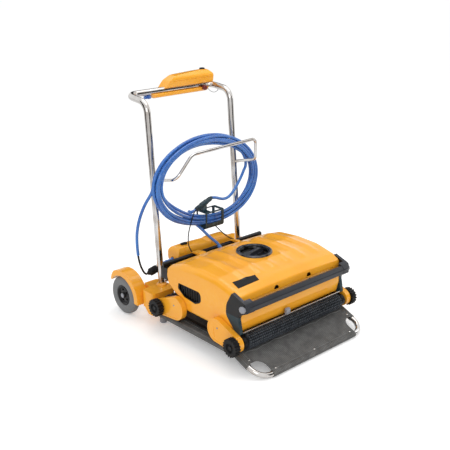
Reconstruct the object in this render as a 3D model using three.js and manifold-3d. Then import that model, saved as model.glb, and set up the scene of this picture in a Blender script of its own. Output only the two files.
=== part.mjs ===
// Pool cleaning robot parked on its two-wheeled caddy, with its floating cable hung on the caddy's hook.
// Millimetres, +X to the robot's right, +Y to the rear, +Z up; the floor is z = 0.
import * as THREE from "three";
import { mergeVertices } from "three/addons/utils/BufferGeometryUtils.js";
import Module from "manifold-3d";

const wasm = await Module();
wasm.setup();

// ---- driving dimensions ----
const gap = 0.4; // air between touching pieces
const runningGap = 0.3; // radial air round a turning shaft
const sides = [-1, 1];

// caddy
const bodyHalf = 350; // half the robot's width, which the caddy is built round
const hoopRadius = 16;
const uprightX = bodyHalf - 82;
const uprightFootY = 343.4; // where the upright's axis would meet the floor
const uprightLean = 0.0833; // run back per millimetre of height
const uprightBottomZ = 104;
const hoopKneeZ = 1092;
const crossbarY = 592;
const crossbarZ = 1108;
const kneeBend = 60;
const gripBend = 55;

const railRadius = 12.5;
const railX = bodyHalf + 7;
const railZ = 78;
const railRearY = 326;
const rampTopY = -290;
const toeY = -446;
const toeBend = 72;
const hemWall = 2.4;
const hemRadius = railRadius + gap + hemWall;
const toeZ = hemRadius;
const sheetRearY = 180;
const hemRearY = 272;
const sheetCornerX = railX - 75; // the sheet's front corners are cut out beyond this
const sheetCornerY = -372;
const saddleWidth = 10;
const saddleLength = 30;

const hookRadius = 7;
const hookZ = 719; // where its arms leave the uprights
const hookRise = 42;
const hookFrontY = 238;
const hookTopZ = 866;
const hookLeftLipX = 110 - uprightX;
const hookRightLipX = uprightX - 4;

const blockBottomZ = 60;
const blockRearBottomZ = 90;
const blockTopZ = 178;
const blockFrontY = 284;
const blockRearY = 432;
const blockInnerX = uprightX - 33;
const blockOuterX = railX + 23;
const blockStep = { x: railX - 28, y: 376 };
const bossRadius = 27; // round the foot of the upright
const legX = railX - 50;
const legY = 303;
const legRadius = 15;
const legTopZ = 100;
const legCapRadius = 18;

const wheelRadius = 100;
const wheelY = 521;
const wheelOuterX = bodyHalf + 50;
const tyreWidth = 44;
const rimRadius = 54;
const axleRadius = 8;
const fenderInner = 108;
const fenderOuter = 137;
const fenderOuterX = wheelOuterX + 5;
const fenderInnerX = wheelOuterX - 62;
const fenderWeb = 6;
const fenderFrom = 37; // degrees up from the rear
const fenderTo = 184;

const crossTubeRadius = 12.5;
const crossTubeZ = 224;

// control unit on the crossbar
const controlLeftX = -46;
const controlRightX = 272;
const controlHeight = 70;
const controlBaseZ = crossbarZ + 10;
const controlTopZ = controlBaseZ + controlHeight;
const controlFrontY = 562;
const controlRearY = 636;
const lipLeftX = -130;
const lipRightX = 244;
const lipTopZ = crossbarZ - 4;
const lipBottomZ = lipTopZ - 30;

// power supply housing behind the robot
const supplyLeftX = -160;
const supplyRightX = 216;
const supplyFrontY = 352;
const supplyRearY = 440;
const supplyBottomZ = 240;
const supplyTopZ = 342;
const supplyCollarX = 74; // where the end cap's collar stands up

// robot
const bodyRound = 24;
const bodyTopZ = 400;
const bodyEdgeZ = 386; // top of the crown where it meets the sides
const bodyBottomZ = 149;
const bodyRearY = 226;
const seamZ = 322;
const wall = 6;
const midY = -36; // the robot is the same to the front and the rear of this line
const axleFrontY = -308;
const axleRearY = 2 * midY - axleFrontY;
const axleZ = 133;
const brushRadius = 40;
const brushCore = 25;
const brushFins = 16;
const shaftRadius = 8;
const drumRadius = 22;
const beltWall = 5;
const beltOuterX = bodyHalf - 8;
const beltInnerX = beltOuterX - 20;
const brushHalf = beltInnerX - 4;
const cheekOuterX = bodyHalf + 1.6;
const cheekInnerX = cheekOuterX - 17.6;
const armThick = 27.6;
const armInnerX = cheekOuterX + 0.8;
const armOuterX = armInnerX + armThick;
const armPivot = { y: -180, z: 160.5, r: 58 };
const armNose = { y: -298, z: 134.5, r: 40.5 };
const rearPivot = { y: 115, z: 163, r: 58 };
const climberRadius = 44;
const climberRoot = 39;
const climberLobes = 18;
const climberInnerX = armOuterX + 4;
const climberOuterX = climberInnerX + 30;
const handleFrontY = -356;
const handleCorner = 43; // the handle's rounding seen from above
const handleJoinX = cheekOuterX - handleCorner - 8.6; // where the bar meets the corners

const outletY = -34.5;
const outletRadius = 89;
const outletRim = 72;
const outletHole = 82;
const outletTopZ = 409;

// floating cable
const cableRadius = 7.5;
const coilWide = 352; // half width to the middle of the bundle
const coilTall = 203;
const coilDeep = 24;
const coilThick = 30;
const coilY = 306;
const coilZ = 685;
const coilTurn = 7; // degrees that its right side is set back
const coilRoll = 7.5; // degrees that its right side hangs lower

// ---- materials ----
function look(colour, roughness, metalness) {
  return new THREE.MeshStandardMaterial({ color: colour, roughness, metalness });
}
const yellow = look(0xf2a024, 0.42, 0);
const black = look(0x202124, 0.5, 0);
const rubber = look(0x17181a, 0.8, 0);
const tyreGrey = look(0x8b8b8a, 0.75, 0);
const steel = look(0xc9c9c7, 0.18, 1);
const grey = look(0x9b9ea1, 0.45, 0);
const mesh = look(0x4a4a4b, 0.7, 0);
const blue = look(0x2f62c4, 0.4, 0);
const teal = look(0x24505c, 0.5, 0);
const red = look(0x7c1510, 0.45, 0);

// ---- solids ----
const root = new THREE.Group();
root.name = "pool_cleaner";

function solid(geometry) {
  const loose = geometry.index ? geometry.toNonIndexed() : geometry;
  const bare = new THREE.BufferGeometry();
  bare.setAttribute("position", loose.getAttribute("position"));
  const merged = mergeVertices(bare, 1e-3);
  const corners = merged.index.array;
  const faces = [];
  for (let i = 0; i < corners.length; i += 3) {
    const [a, b, c] = [corners[i], corners[i + 1], corners[i + 2]];
    if (a !== b && b !== c && c !== a) faces.push(a, b, c);
  }
  const build = (list) =>
    new wasm.Manifold(
      new wasm.Mesh({
        numProp: 3,
        vertProperties: merged.attributes.position.array,
        triVerts: new Uint32Array(list),
      }),
    );
  const made = build(faces);
  return made.volume() < 0 ? build(faces.reverse()) : made;
}

function addPiece(name, body, material) {
  const { vertProperties, numProp, triVerts } = body.getMesh();
  const count = vertProperties.length / numProp;
  const positions = new Float32Array(count * 3);
  for (let i = 0; i < count; i++) {
    for (let k = 0; k < 3; k++) positions[i * 3 + k] = vertProperties[i * numProp + k];
  }
  const geometry = new THREE.BufferGeometry();
  geometry.setAttribute("position", new THREE.BufferAttribute(positions, 3));
  geometry.setIndex(new THREE.BufferAttribute(new Uint32Array(triVerts), 1));
  geometry.computeVertexNormals();
  const piece = new THREE.Mesh(geometry, material);
  piece.name = name;
  root.add(piece);
  return piece;
}

// A closed outline from corners [across, up, rounding].
function outline(corners, steps = 4) {
  const points = [];
  const count = corners.length;
  corners.forEach(([u, v, r = 0], i) => {
    if (!r) {
      points.push(new THREE.Vector2(u, v));
      return;
    }
    const [pu, pv] = corners[(i + count - 1) % count];
    const [nu, nv] = corners[(i + 1) % count];
    const here = new THREE.Vector2(u, v);
    const back = new THREE.Vector2(pu - u, pv - v).normalize();
    const ahead = new THREE.Vector2(nu - u, nv - v).normalize();
    const half = Math.acos(Math.min(1, Math.max(-1, back.dot(ahead)))) / 2;
    const reach = r / Math.tan(half);
    const centre = back.clone().add(ahead).normalize().multiplyScalar(r / Math.sin(half)).add(here);
    const from = here.clone().addScaledVector(back, reach).sub(centre);
    const to = here.clone().addScaledVector(ahead, reach).sub(centre);
    const sweep = Math.atan2(from.cross(to), from.dot(to));
    for (let k = 0; k <= steps; k++) {
      points.push(from.clone().rotateAround(new THREE.Vector2(), (sweep * k) / steps).add(centre));
    }
  });
  return new THREE.Shape(points);
}

function circle(cu, cv, r, count) {
  const points = [];
  for (let i = 0; i < count; i++) {
    const a = (2 * Math.PI * i) / count;
    points.push(new THREE.Vector2(cu + r * Math.cos(a), cv + r * Math.sin(a)));
  }
  return new THREE.Shape(points);
}

// A shape pushed through a depth, its end edges rounded by an inset bevel.
function pushed(shape, depth, bevel, bevelSegments = 2) {
  return new THREE.ExtrudeGeometry(shape, {
    depth: depth - 2 * bevel,
    steps: 1,
    bevelEnabled: bevel > 0,
    bevelSize: bevel,
    bevelThickness: bevel,
    bevelOffset: -bevel,
    bevelSegments,
  }).translate(0, 0, bevel);
}

// Outlines drawn in (y, z), pushed along x.
function alongX(shape, x0, x1, bevel = 0, rounds = 2) {
  const turn = new THREE.Matrix4().makeBasis(
    new THREE.Vector3(0, 1, 0),
    new THREE.Vector3(0, 0, 1),
    new THREE.Vector3(1, 0, 0),
  );
  return solid(pushed(shape, x1 - x0, bevel, rounds).applyMatrix4(turn).translate(x0, 0, 0));
}

// Outlines drawn in (x, z), pushed along y.
function alongY(shape, y0, y1, bevel = 0, rounds = 2) {
  return solid(pushed(shape, y1 - y0, bevel, rounds).rotateX(Math.PI / 2).translate(0, y1, 0));
}

// Outlines drawn in (x, y), pushed along z.
function alongZ(shape, z0, z1, bevel = 0, rounds = 2) {
  return solid(pushed(shape, z1 - z0, bevel, rounds).translate(0, 0, z0));
}

// The corner radius of a many-sided hole whose flats clear a round of radius r.
function roomy(r, count, air = gap) {
  return (r + air) / Math.cos(Math.PI / count);
}

function box(x0, x1, y0, y1, z0, z1) {
  const block = new THREE.BoxGeometry(x1 - x0, y1 - y0, z1 - z0);
  return solid(block.translate((x0 + x1) / 2, (y0 + y1) / 2, (z0 + z1) / 2));
}

// A turned body; the profile is [radius, along] and runs from the axis back to the axis, or closes on itself.
function turned(profile, segments) {
  return new THREE.LatheGeometry(profile.map(([r, h]) => new THREE.Vector2(r, h)), segments);
}

function turnedX(profile, segments, x, y, z) {
  return solid(turned(profile, segments).rotateZ(-Math.PI / 2).translate(x, y, z));
}

function turnedZ(profile, segments, x, y, z) {
  return solid(turned(profile, segments).rotateX(Math.PI / 2).translate(x, y, z));
}

function rodX(x0, x1, y, z, r, count = 20) {
  return alongX(circle(y, z, r, count), x0, x1);
}

function mirrored(body) {
  return body.mirror([1, 0, 0]);
}

function onSide(side, body) {
  return side < 0 ? body : mirrored(body);
}

function sideName(side) {
  return side < 0 ? "left" : "right";
}

// A path through fixed stations, each with its own heading, so that a bent tube is ringed only where it needs it.
class BentPath extends THREE.Curve {
  constructor(stations) {
    super();
    this.stations = stations;
  }
  stationAt(u) {
    return this.stations[Math.round(u * (this.stations.length - 1))];
  }
  getPoint(u, target = new THREE.Vector3()) {
    return target.copy(this.stationAt(u).point);
  }
  getPointAt(u, target) {
    return this.getPoint(u, target);
  }
  getTangentAt(u, target = new THREE.Vector3()) {
    return target.copy(this.stationAt(u).heading);
  }
}

// Straight runs between corners [x, y, z, bend radius], with an arc at each corner.
function bentPath(corners, arcSteps) {
  const at = corners.map(([x, y, z]) => new THREE.Vector3(x, y, z));
  const headings = at.slice(1).map((p, i) => p.clone().sub(at[i]).normalize());
  const stations = [{ point: at[0], heading: headings[0] }];
  for (let i = 1; i < at.length - 1; i++) {
    const [into, out, r] = [headings[i - 1], headings[i], corners[i][3]];
    const angle = into.angleTo(out);
    const reach = r * Math.tan(angle / 2);
    const start = at[i].clone().addScaledVector(into, -reach);
    const inward = out.clone().sub(into).addScaledVector(into, -out.clone().sub(into).dot(into)).normalize();
    const centre = start.clone().addScaledVector(inward, r);
    for (let k = 0; k <= arcSteps; k++) {
      const a = (angle * k) / arcSteps;
      const point = centre.clone().addScaledVector(inward, -r * Math.cos(a)).addScaledVector(into, r * Math.sin(a));
      const heading = into.clone().multiplyScalar(Math.cos(a)).addScaledVector(inward, Math.sin(a));
      stations.push({ point, heading });
    }
  }
  stations.push({ point: at.at(-1), heading: headings.at(-1) });
  return new BentPath(stations);
}

function ring(outer, inner, count) {
  const shape = circle(0, 0, outer, count);
  if (inner) shape.holes.push(circle(0, 0, inner, count));
  return shape;
}

function tube(corners, radius, { count = 12, arcSteps = 5, bore = 0 } = {}) {
  const path = bentPath(corners, arcSteps);
  return solid(
    new THREE.ExtrudeGeometry(ring(radius, bore, count), {
      steps: path.stations.length - 1,
      extrudePath: path,
      bevelEnabled: false,
    }),
  );
}

// A cord through hand-laid points.
function cord(points, radius, steps, count = 8) {
  const path = new THREE.CatmullRomCurve3(points.map(([x, y, z]) => new THREE.Vector3(x, y, z)));
  return solid(
    new THREE.ExtrudeGeometry(ring(radius, 0, count), { steps, extrudePath: path, bevelEnabled: false }),
  );
}

// ---- caddy frame ----
function uprightY(z) {
  return uprightFootY + uprightLean * z;
}

function hoopCorners() {
  return [
    [-uprightX, uprightY(uprightBottomZ), uprightBottomZ],
    [-uprightX, uprightY(hoopKneeZ), hoopKneeZ, kneeBend],
    [-uprightX, crossbarY, crossbarZ, gripBend],
    [uprightX, crossbarY, crossbarZ, gripBend],
    [uprightX, uprightY(hoopKneeZ), hoopKneeZ, kneeBend],
    [uprightX, uprightY(uprightBottomZ), uprightBottomZ],
  ];
}

function caddyHoop(radius = hoopRadius) {
  return tube(hoopCorners(), radius, { count: 12, arcSteps: 4 });
}

function railCorners() {
  return [
    [-railX, railRearY, railZ],
    [-railX, rampTopY, railZ, 60],
    [-railX, toeY, toeZ, toeBend],
    [railX, toeY, toeZ, toeBend],
    [railX, rampTopY, railZ, 60],
    [railX, railRearY, railZ],
  ];
}

// The pads on the rails that carry the robot's arms.
function saddle(side, pivot, grow = 0) {
  const x = side * (railX + 4);
  const half = { x: saddleWidth / 2 + grow, y: saddleLength / 2 + grow };
  return box(x - half.x, x + half.x, pivot.y - half.y, pivot.y + half.y, railZ + 4, pivot.z - pivot.r - 5 * gap);
}

function railFrame() {
  let frame = tube(railCorners(), railRadius, { count: 10, arcSteps: 4 });
  for (const side of sides) {
    for (const pivot of [armPivot, rearPivot]) frame = frame.add(saddle(side, pivot));
  }
  return frame;
}

function rampAngle() {
  return Math.atan2(railZ - toeZ, rampTopY - toeY);
}

// A point on a line that follows the rails at a height above their axis: 0 rear, 1 knee, 2 toe.
function aboveRail(place, height) {
  const slope = rampAngle();
  if (place === 0) return [sheetRearY, railZ + height];
  if (place === 1) return [rampTopY - height * Math.tan(slope / 2), railZ + height];
  return [toeY - height * Math.sin(slope), toeZ + height * Math.cos(slope)];
}

function meshSheet() {
  const low = railRadius + gap;
  const strip = [0, 1, 2].map((place) => aboveRail(place, hemRadius - 0.2));
  const under = [2, 1, 0].map((place) => aboveRail(place, low));
  const panel = alongX(outline([...strip, ...under]), -railX, railX);
  let sheet = panel;
  for (const side of sides) {
    const hemEnd = 1 - (sheetCornerY - toeY) / (rampTopY - toeY);
    const corners = [
      [side * railX, hemRearY, railZ],
      [side * railX, rampTopY, railZ, 60],
      [side * railX, rampTopY + (toeY - rampTopY) * hemEnd, railZ + (toeZ - railZ) * hemEnd],
    ];
    sheet = sheet.add(tube(corners, hemRadius, { count: 10, arcSteps: 4, bore: roomy(railRadius, 10) }));
  }
  const frontHem = circle(toeY, toeZ, hemRadius, 10);
  frontHem.holes.push(circle(toeY, toeZ, roomy(railRadius, 10), 10));
  sheet = sheet.add(alongX(frontHem, -sheetCornerX, sheetCornerX));
  for (const side of sides) {
    const notch = outline([
      [-railX - 30, sheetCornerY],
      [-sheetCornerX, sheetCornerY, 26],
      [-sheetCornerX, toeY - 40],
      [-railX - 30, toeY - 40],
    ]);
    sheet = sheet.subtract(onSide(side, alongZ(notch, -5, 120)));
    for (const pivot of [armPivot, rearPivot]) sheet = sheet.subtract(saddle(side, pivot, gap));
  }
  return sheet;
}

function hookCorners() {
  const baseY = uprightY(hookZ) - hoopRadius - gap;
  const frontZ = hookZ + hookRise;
  return [
    [-uprightX, baseY, hookZ],
    [-uprightX + 8, hookFrontY - 6, frontZ - 8, 34],
    [hookLeftLipX, hookFrontY - 4, hookTopZ - 8, 40],
    [hookRightLipX, hookFrontY - 4, hookTopZ + 4, 26],
    [uprightX, hookFrontY, frontZ, 20],
    [uprightX, baseY, hookZ],
  ];
}

function cableHook(radius = hookRadius) {
  return tube(hookCorners(), radius, { count: 8, arcSteps: 4 }).subtract(caddyHoop(hoopRadius + gap));
}

// ---- caddy corner blocks, legs, wheels ----
function cornerBlock() {
  const plan = outline([
    [-blockOuterX, blockFrontY, 18],
    [-blockInnerX, blockFrontY, 26],
    [-blockInnerX, blockRearY, 26],
    [-blockStep.x, blockRearY, 14],
    [-blockStep.x, blockStep.y, 4],
    [-blockOuterX, blockStep.y, 14],
  ], 3);
  const side = outline([
    [blockFrontY - 5, blockBottomZ - 5],
    [blockFrontY + 40, blockBottomZ - 5],
    [blockFrontY + 72, blockRearBottomZ, 20],
    [blockRearY + 5, blockRearBottomZ + 8],
    [blockRearY + 5, blockTopZ + 5],
    [blockFrontY - 5, blockTopZ + 5],
  ], 3);
  const railHole = alongY(circle(-railX, railZ, roomy(railRadius, 10), 10), blockFrontY - 5, railRearY + gap);
  const legHole = alongZ(circle(-legX, legY, roomy(legRadius, 14), 14), blockBottomZ - 5, legTopZ + gap);
  const foot = [-uprightX, uprightY(blockRearBottomZ + 10), blockRearBottomZ + 10];
  const head = [-uprightX, uprightY(blockTopZ + 5), blockTopZ + 5];
  return alongZ(plan, blockBottomZ, blockTopZ, 12, 2)
    .intersect(alongX(side, -blockOuterX - 5, -blockInnerX + 5))
    .add(tube([foot, head], bossRadius, { count: 20 }))
    .subtract(railHole)
    .subtract(legHole)
    .subtract(caddyHoop(hoopRadius + gap));
}

function leg() {
  const profile = [
    [0, 0],
    [legCapRadius - 2, 0],
    [legCapRadius, 3],
    [legCapRadius, 30],
    [legRadius, 33],
    [legRadius, legTopZ],
    [0, legTopZ],
  ];
  return turnedZ(profile, 14, -legX, legY, 0);
}

function fender() {
  const points = [];
  const steps = 12;
  const rad = Math.PI / 180;
  for (let i = 0; i <= steps; i++) {
    const a = (fenderFrom + ((fenderTo - fenderFrom) * i) / steps) * rad;
    const thin = Math.min(1, 0.28 + (4.4 * i) / steps);
    const r = fenderInner + (fenderOuter - fenderInner) * thin;
    points.push([wheelY + r * Math.cos(a), wheelRadius + r * Math.sin(a)]);
  }
  for (let i = steps; i >= 0; i--) {
    const a = (fenderFrom + ((fenderTo - fenderFrom) * i) / steps) * rad;
    points.push([wheelY + fenderInner * Math.cos(a), wheelRadius + fenderInner * Math.sin(a)]);
  }
  const arch = alongX(outline(points), -fenderOuterX, -fenderInnerX, 2.4, 1);
  const webShape = outline([
    [wheelY + 88, wheelRadius + 66, 8],
    [wheelY + 40, wheelRadius + 111, 20],
    [wheelY - 50, wheelRadius + 108, 30],
    [wheelY - 112, wheelRadius + 40, 20],
    [wheelY - 112, wheelRadius - 26, 14],
    [wheelY + 12, wheelRadius - 26, 16],
    [wheelY + 34, wheelRadius + 10, 16],
  ]);
  const web = alongX(webShape, -fenderInnerX - fenderWeb, -fenderInnerX);
  const axleHole = rodX(-fenderOuterX, 0, wheelY, wheelRadius, roomy(axleRadius, 20, runningGap));
  return arch.add(web).subtract(axleHole);
}

function tyre() {
  const half = tyreWidth / 2;
  const profile = [
    [rimRadius + gap, -half + 5],
    [rimRadius + 12, -half],
    [wheelRadius - 16, -half],
    [wheelRadius - 5, -half + 4],
    [wheelRadius, -half + 13],
    [wheelRadius, half - 13],
    [wheelRadius - 5, half - 4],
    [wheelRadius - 16, half],
    [rimRadius + 12, half],
    [rimRadius + gap, half - 5],
    [rimRadius + gap, -half + 5],
  ];
  return turnedX(profile, 26, -wheelOuterX + half, wheelY, wheelRadius);
}

function rim() {
  const half = tyreWidth / 2;
  const profile = [
    [0, -half - 1],
    [14, -half],
    [16, -half + 10],
    [40, -half + 13],
    [45, -half + 4],
    [rimRadius, -half + 4],
    [rimRadius, half - 4],
    [45, half - 4],
    [40, half - 12],
    [18, half - 10],
    [18, half],
    [0, half],
  ];
  let body = turnedX(profile, 20, -wheelOuterX + half, wheelY, wheelRadius);
  for (let i = 0; i < 5; i++) {
    const a = (2 * Math.PI * i) / 5;
    const y = wheelY + 29 * Math.cos(a);
    const z = wheelRadius + 29 * Math.sin(a);
    body = body.subtract(rodX(-wheelOuterX, -wheelOuterX + tyreWidth, y, z, 8, 4));
  }
  return body.subtract(rodX(-wheelOuterX + 8, 0, wheelY, wheelRadius, roomy(axleRadius, 20, runningGap)));
}

function axle() {
  const reach = wheelOuterX - 8 - gap;
  return rodX(-reach, reach, wheelY, wheelRadius, axleRadius);
}

// The tube between the uprights, with two plates on top that the supply housing stands on.
function rearCrossTube() {
  const y = uprightY(crossTubeZ);
  let body = rodX(-uprightX, uprightX, y, crossTubeZ, crossTubeRadius, 14);
  for (const side of sides) {
    const x = 28 + side * 120;
    body = body.add(box(x - 14, x + 14, y - 6, y + 60, crossTubeZ + 3, supplyBottomZ - gap));
  }
  return body.subtract(caddyHoop(hoopRadius + gap));
}

// ---- control unit on the crossbar ----
function controlShell() {
  const side = outline([
    [controlFrontY + 4, controlBaseZ, 6],
    [controlFrontY, controlTopZ - 26, 14],
    [controlFrontY + 20, controlTopZ, 16],
    [controlRearY - 16, controlTopZ - 2, 16],
    [controlRearY, controlBaseZ - 22, 8],
    [crossbarY + 26, controlBaseZ - 22, 4],
    [crossbarY + 24, controlBaseZ, 6],
  ]);
  const front = outline([
    [controlLeftX, controlBaseZ - 30],
    [controlLeftX, controlBaseZ, 8],
    [controlLeftX + 22, controlTopZ - 38, 30],
    [controlLeftX + 62, controlTopZ - 16, 40],
    [controlRightX - 22, controlTopZ, 22],
    [controlRightX, controlTopZ - 24, 18],
    [controlRightX - 14, controlBaseZ, 8],
    [controlRightX - 20, controlBaseZ - 30],
  ]);
  return alongX(side, controlLeftX, controlRightX)
    .intersect(alongY(front, controlFrontY - 1, controlRearY + 1, 5, 2))
    .subtract(caddyHoop(hoopRadius + gap));
}

function controlLip() {
  const side = outline([
    [controlFrontY + 6, lipTopZ - 6, 5],
    [controlFrontY + 8, lipBottomZ + 6, 8],
    [controlFrontY + 22, lipBottomZ, 8],
    [crossbarY + 24, lipBottomZ + 4, 8],
    [crossbarY + 24, lipTopZ - 9, 4],
  ]);
  const front = outline([
    [lipLeftX, lipTopZ - 4, 8],
    [lipLeftX + 18, lipBottomZ - 2, 12],
    [lipRightX - 16, lipBottomZ - 2, 8],
    [lipRightX, lipTopZ - 4, 8],
    [lipRightX, lipTopZ + 4],
    [lipLeftX, lipTopZ + 4],
  ]);
  return alongX(side, lipLeftX, lipRightX)
    .intersect(alongY(front, controlFrontY, crossbarY + 30))
    .subtract(caddyHoop(hoopRadius + gap))
    .subtract(knobSeat());
}

const knobX = uprightX - 62;
const knobZ = 1096;
function knobSeat() {
  return alongY(circle(knobX, knobZ, 9, 16), controlFrontY, controlFrontY + 18);
}

function lockKnob() {
  const profile = [
    [0, 0],
    [7, 0],
    [7, 9],
    [13, 10],
    [14, 14],
    [13, 22],
    [10, 25],
    [0, 25],
  ];
  return solid(turned(profile, 14).rotateX(Math.PI).translate(knobX, controlFrontY + 14, knobZ));
}

const buttonX = 224;
const buttonY = 602;
function controlButton() {
  const profile = [
    [0, -10],
    [15, -10],
    [15, 4],
    [13, 8],
    [7, 10],
    [0, 10.5],
  ];
  return turnedZ(profile, 16, buttonX, buttonY, controlTopZ - 1);
}

function buttonWell(body) {
  return body.subtract(alongZ(circle(buttonX, buttonY, 15.5, 20), controlTopZ - 18, controlTopZ + 20));
}

function controlSocket() {
  const profile = [
    [0, 0],
    [9, 0],
    [10, 3],
    [10, 14],
    [8, 16],
    [8, 34],
    [6, 37],
    [0, 37],
  ];
  return solid(turned(profile, 14).rotateZ(Math.PI / 2).translate(lipLeftX - gap, 588, lipTopZ - 20))
    .subtract(caddyHoop(hoopRadius + gap));
}

// ---- power supply housing ----
function supplyBox() {
  const side = outline([
    [supplyFrontY, supplyBottomZ, 24],
    [supplyFrontY, supplyTopZ - 6, 34],
    [supplyRearY, supplyTopZ, 34],
    [supplyRearY, supplyBottomZ, 24],
  ], 4);
  const front = outline([
    [supplyLeftX, supplyBottomZ, 42],
    [supplyLeftX, supplyTopZ, 36],
    [supplyCollarX - 16, supplyTopZ - 18, 14],
    [supplyCollarX, supplyTopZ - 8, 16],
    [supplyRightX, supplyTopZ - 12, 36],
    [supplyRightX, supplyBottomZ, 42],
  ], 3);
  const socket = rodX(supplyLeftX - 2, supplyLeftX + 20, plugY, plugZ, 11.4, 16);
  const well = alongZ(supplyButtonOutline(gap), supplyTopZ - 20, supplyTopZ + 5);
  return alongX(side, supplyLeftX, supplyRightX)
    .intersect(alongY(front, supplyFrontY, supplyRearY, 8, 1))
    .subtract(socket)
    .subtract(well);
}

const plugY = 402;
const plugZ = 276;
const supplyButtonX = -86;
const supplyButtonY = 400;
function supplyButtonOutline(grow = 0) {
  const [x, y] = [20 + grow, 10 + grow];
  return outline([
    [supplyButtonX - x, supplyButtonY - y, 8],
    [supplyButtonX + x, supplyButtonY - y, 8],
    [supplyButtonX + x, supplyButtonY + y, 8],
    [supplyButtonX - x, supplyButtonY + y, 8],
  ], 2);
}

function supplyButton() {
  return alongZ(supplyButtonOutline(), supplyTopZ - 14, supplyTopZ + 4, 3, 1);
}

// The plug in the housing's end and the black coupling the cable lead runs into, on one slanted line.
const couplingEnd = new THREE.Vector3(-320, plugY, 238);
const plugEnd = new THREE.Vector3(supplyLeftX + 10, plugY, plugZ);

function onPlugLine(profile, segments) {
  const line = plugEnd.clone().sub(couplingEnd).normalize();
  const turn = new THREE.Quaternion().setFromUnitVectors(new THREE.Vector3(0, 1, 0), line);
  return solid(
    turned(profile, segments).applyQuaternion(turn).translate(couplingEnd.x, couplingEnd.y, couplingEnd.z),
  );
}

function couplingBody() {
  const profile = [
    [0, 0],
    [9, 0],
    [15, 12],
    [19, 14],
    [20, 18],
    [20, 50],
    [18, 54],
    [18, 76],
    [0, 76],
  ];
  return onPlugLine(profile, 14);
}

function supplyPlug() {
  const profile = [
    [0, 76.5],
    [9, 76.5],
    [9, 102],
    [13, 104],
    [13, 128],
    [9, 132],
    [9, 166],
    [0, 166],
  ];
  return onPlugLine(profile, 12);
}

// ---- robot body ----
function bodySide(inset = 0) {
  const i = inset;
  const steps = inset ? 1 : 3;
  return outline([
    [bodyRearY - i, 298, 30],
    [bodyRearY - 6 - i, 334 - i, 14],
    [196 - i, 358 - i, 30],
    [108, 389 - i, 90],
    [-13, 400 - i, 200],
    [-146, 394 - i, 120],
    [-252, 372 - i, 60],
    [-290 + i, 352 - i, 16],
    [-297 + i, 322, 16],
    [-295 + i, 300],
    [-300 + i, 200, 10],
    [-302 + i, 178 + i, 3],
    [-262 + i, 178 + i, 3],
    [-256 + i, bodyBottomZ + i, 6],
    [118 - i, bodyBottomZ + i, 10],
    [130 - i, 207 + i / 2, 14],
    [176 - i, 229 + i / 2, 20],
    [bodyRearY - 12 - i, 258 + i / 2, 20],
  ], steps);
}

function bodyFront(inset = 0) {
  const half = bodyHalf - inset;
  const points = [[-half, bodyBottomZ - 2], [-half, bodyEdgeZ - inset, Math.max(6, bodyRound - inset)]];
  const steps = 3;
  for (let k = -steps; k <= steps; k++) {
    const x = (k / steps) * (half - 60);
    const fall = (bodyTopZ - bodyEdgeZ) * (x / half) ** 2;
    points.push([x, bodyTopZ - fall - inset]);
  }
  points.push([half, bodyEdgeZ - inset, Math.max(6, bodyRound - inset)], [half, bodyBottomZ - 2]);
  return outline(points, inset ? 1 : 3);
}

function bodyPlan(inset = 0) {
  const half = bodyHalf - inset;
  const r = Math.max(8, 30 - inset);
  return outline([
    [-half, -306, r],
    [half, -306, r],
    [half, bodyRearY + 4 - inset, r],
    [-half, bodyRearY + 4 - inset, r],
  ], inset ? 1 : 3);
}

function bodyMass(inset = 0) {
  const half = bodyHalf - inset;
  return alongX(bodySide(inset), -half, half)
    .intersect(alongY(bodyFront(inset), -310, bodyRearY + 6))
    .intersect(alongZ(bodyPlan(inset), 100, 450));
}

function cheekOutline() {
  return outline([
    [-256, 362, 6],
    [-221, 300, 40],
    [-216, 246, 30],
    [-252, 208, 30],
    [-290, 168, 6],
    [-312, 174, 8],
    [-302, 226, 30],
    [-292, 262, 16],
    [-332, 284, 6],
    [-350, 291, 8],
    [-354, 318, 6],
    [-338, 334, 5],
  ], 2);
}

function cheek(grow = 0) {
  const plan = outline([
    [-cheekOuterX - grow, -200],
    [-cheekOuterX - grow, handleFrontY - grow, handleCorner],
    [-handleJoinX, handleFrontY - grow],
    [-handleJoinX, -316],
    [-cheekInnerX + grow, -316],
    [-cheekInnerX + grow, -200],
  ], 6);
  return alongX(cheekOutline(), -cheekOuterX - 5, -handleJoinX + 10).intersect(alongZ(plan, 140, 380));
}

function barOutline(topZ) {
  return outline([
    [-337, topZ, 5],
    [-353, topZ - 15.6, 6],
    [-349, 292, 8],
    [-333, 285.4, 6],
    [-321, 300, 5],
    [-323, topZ - 3.6, 5],
  ], 2);
}

function frontHandle() {
  let body = alongX(barOutline(332.8), -handleJoinX - 6, handleJoinX + 6);
  for (const side of sides) body = body.add(onSide(side, cheek()));
  return body;
}

function rearHandle() {
  const plan = outline([
    [-cheekInnerX, handleFrontY, handleCorner],
    [cheekInnerX, handleFrontY, handleCorner],
    [cheekInnerX, -300],
    [-cheekInnerX, -300],
  ], 6);
  let body = alongX(barOutline(343), -cheekInnerX, cheekInnerX).intersect(alongZ(plan, 200, 400));
  for (const side of sides) {
    const x = side * (cheekInnerX - 9);
    body = body.add(box(x - 9, x + 9, -346, 2 * midY - bodyRearY - gap, 262, 322));
    body = body.add(box(side * 110 - 12, side * 110 + 12, -326, 2 * midY - bodyRearY - gap, 296, 322));
  }
  return toRear(body);
}

function fromRear(place) {
  return { ...place, y: 2 * midY - place.y };
}

function toRear(body) {
  return body.mirror([0, 1, 0]).translate([0, 2 * midY, 0]);
}

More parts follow.
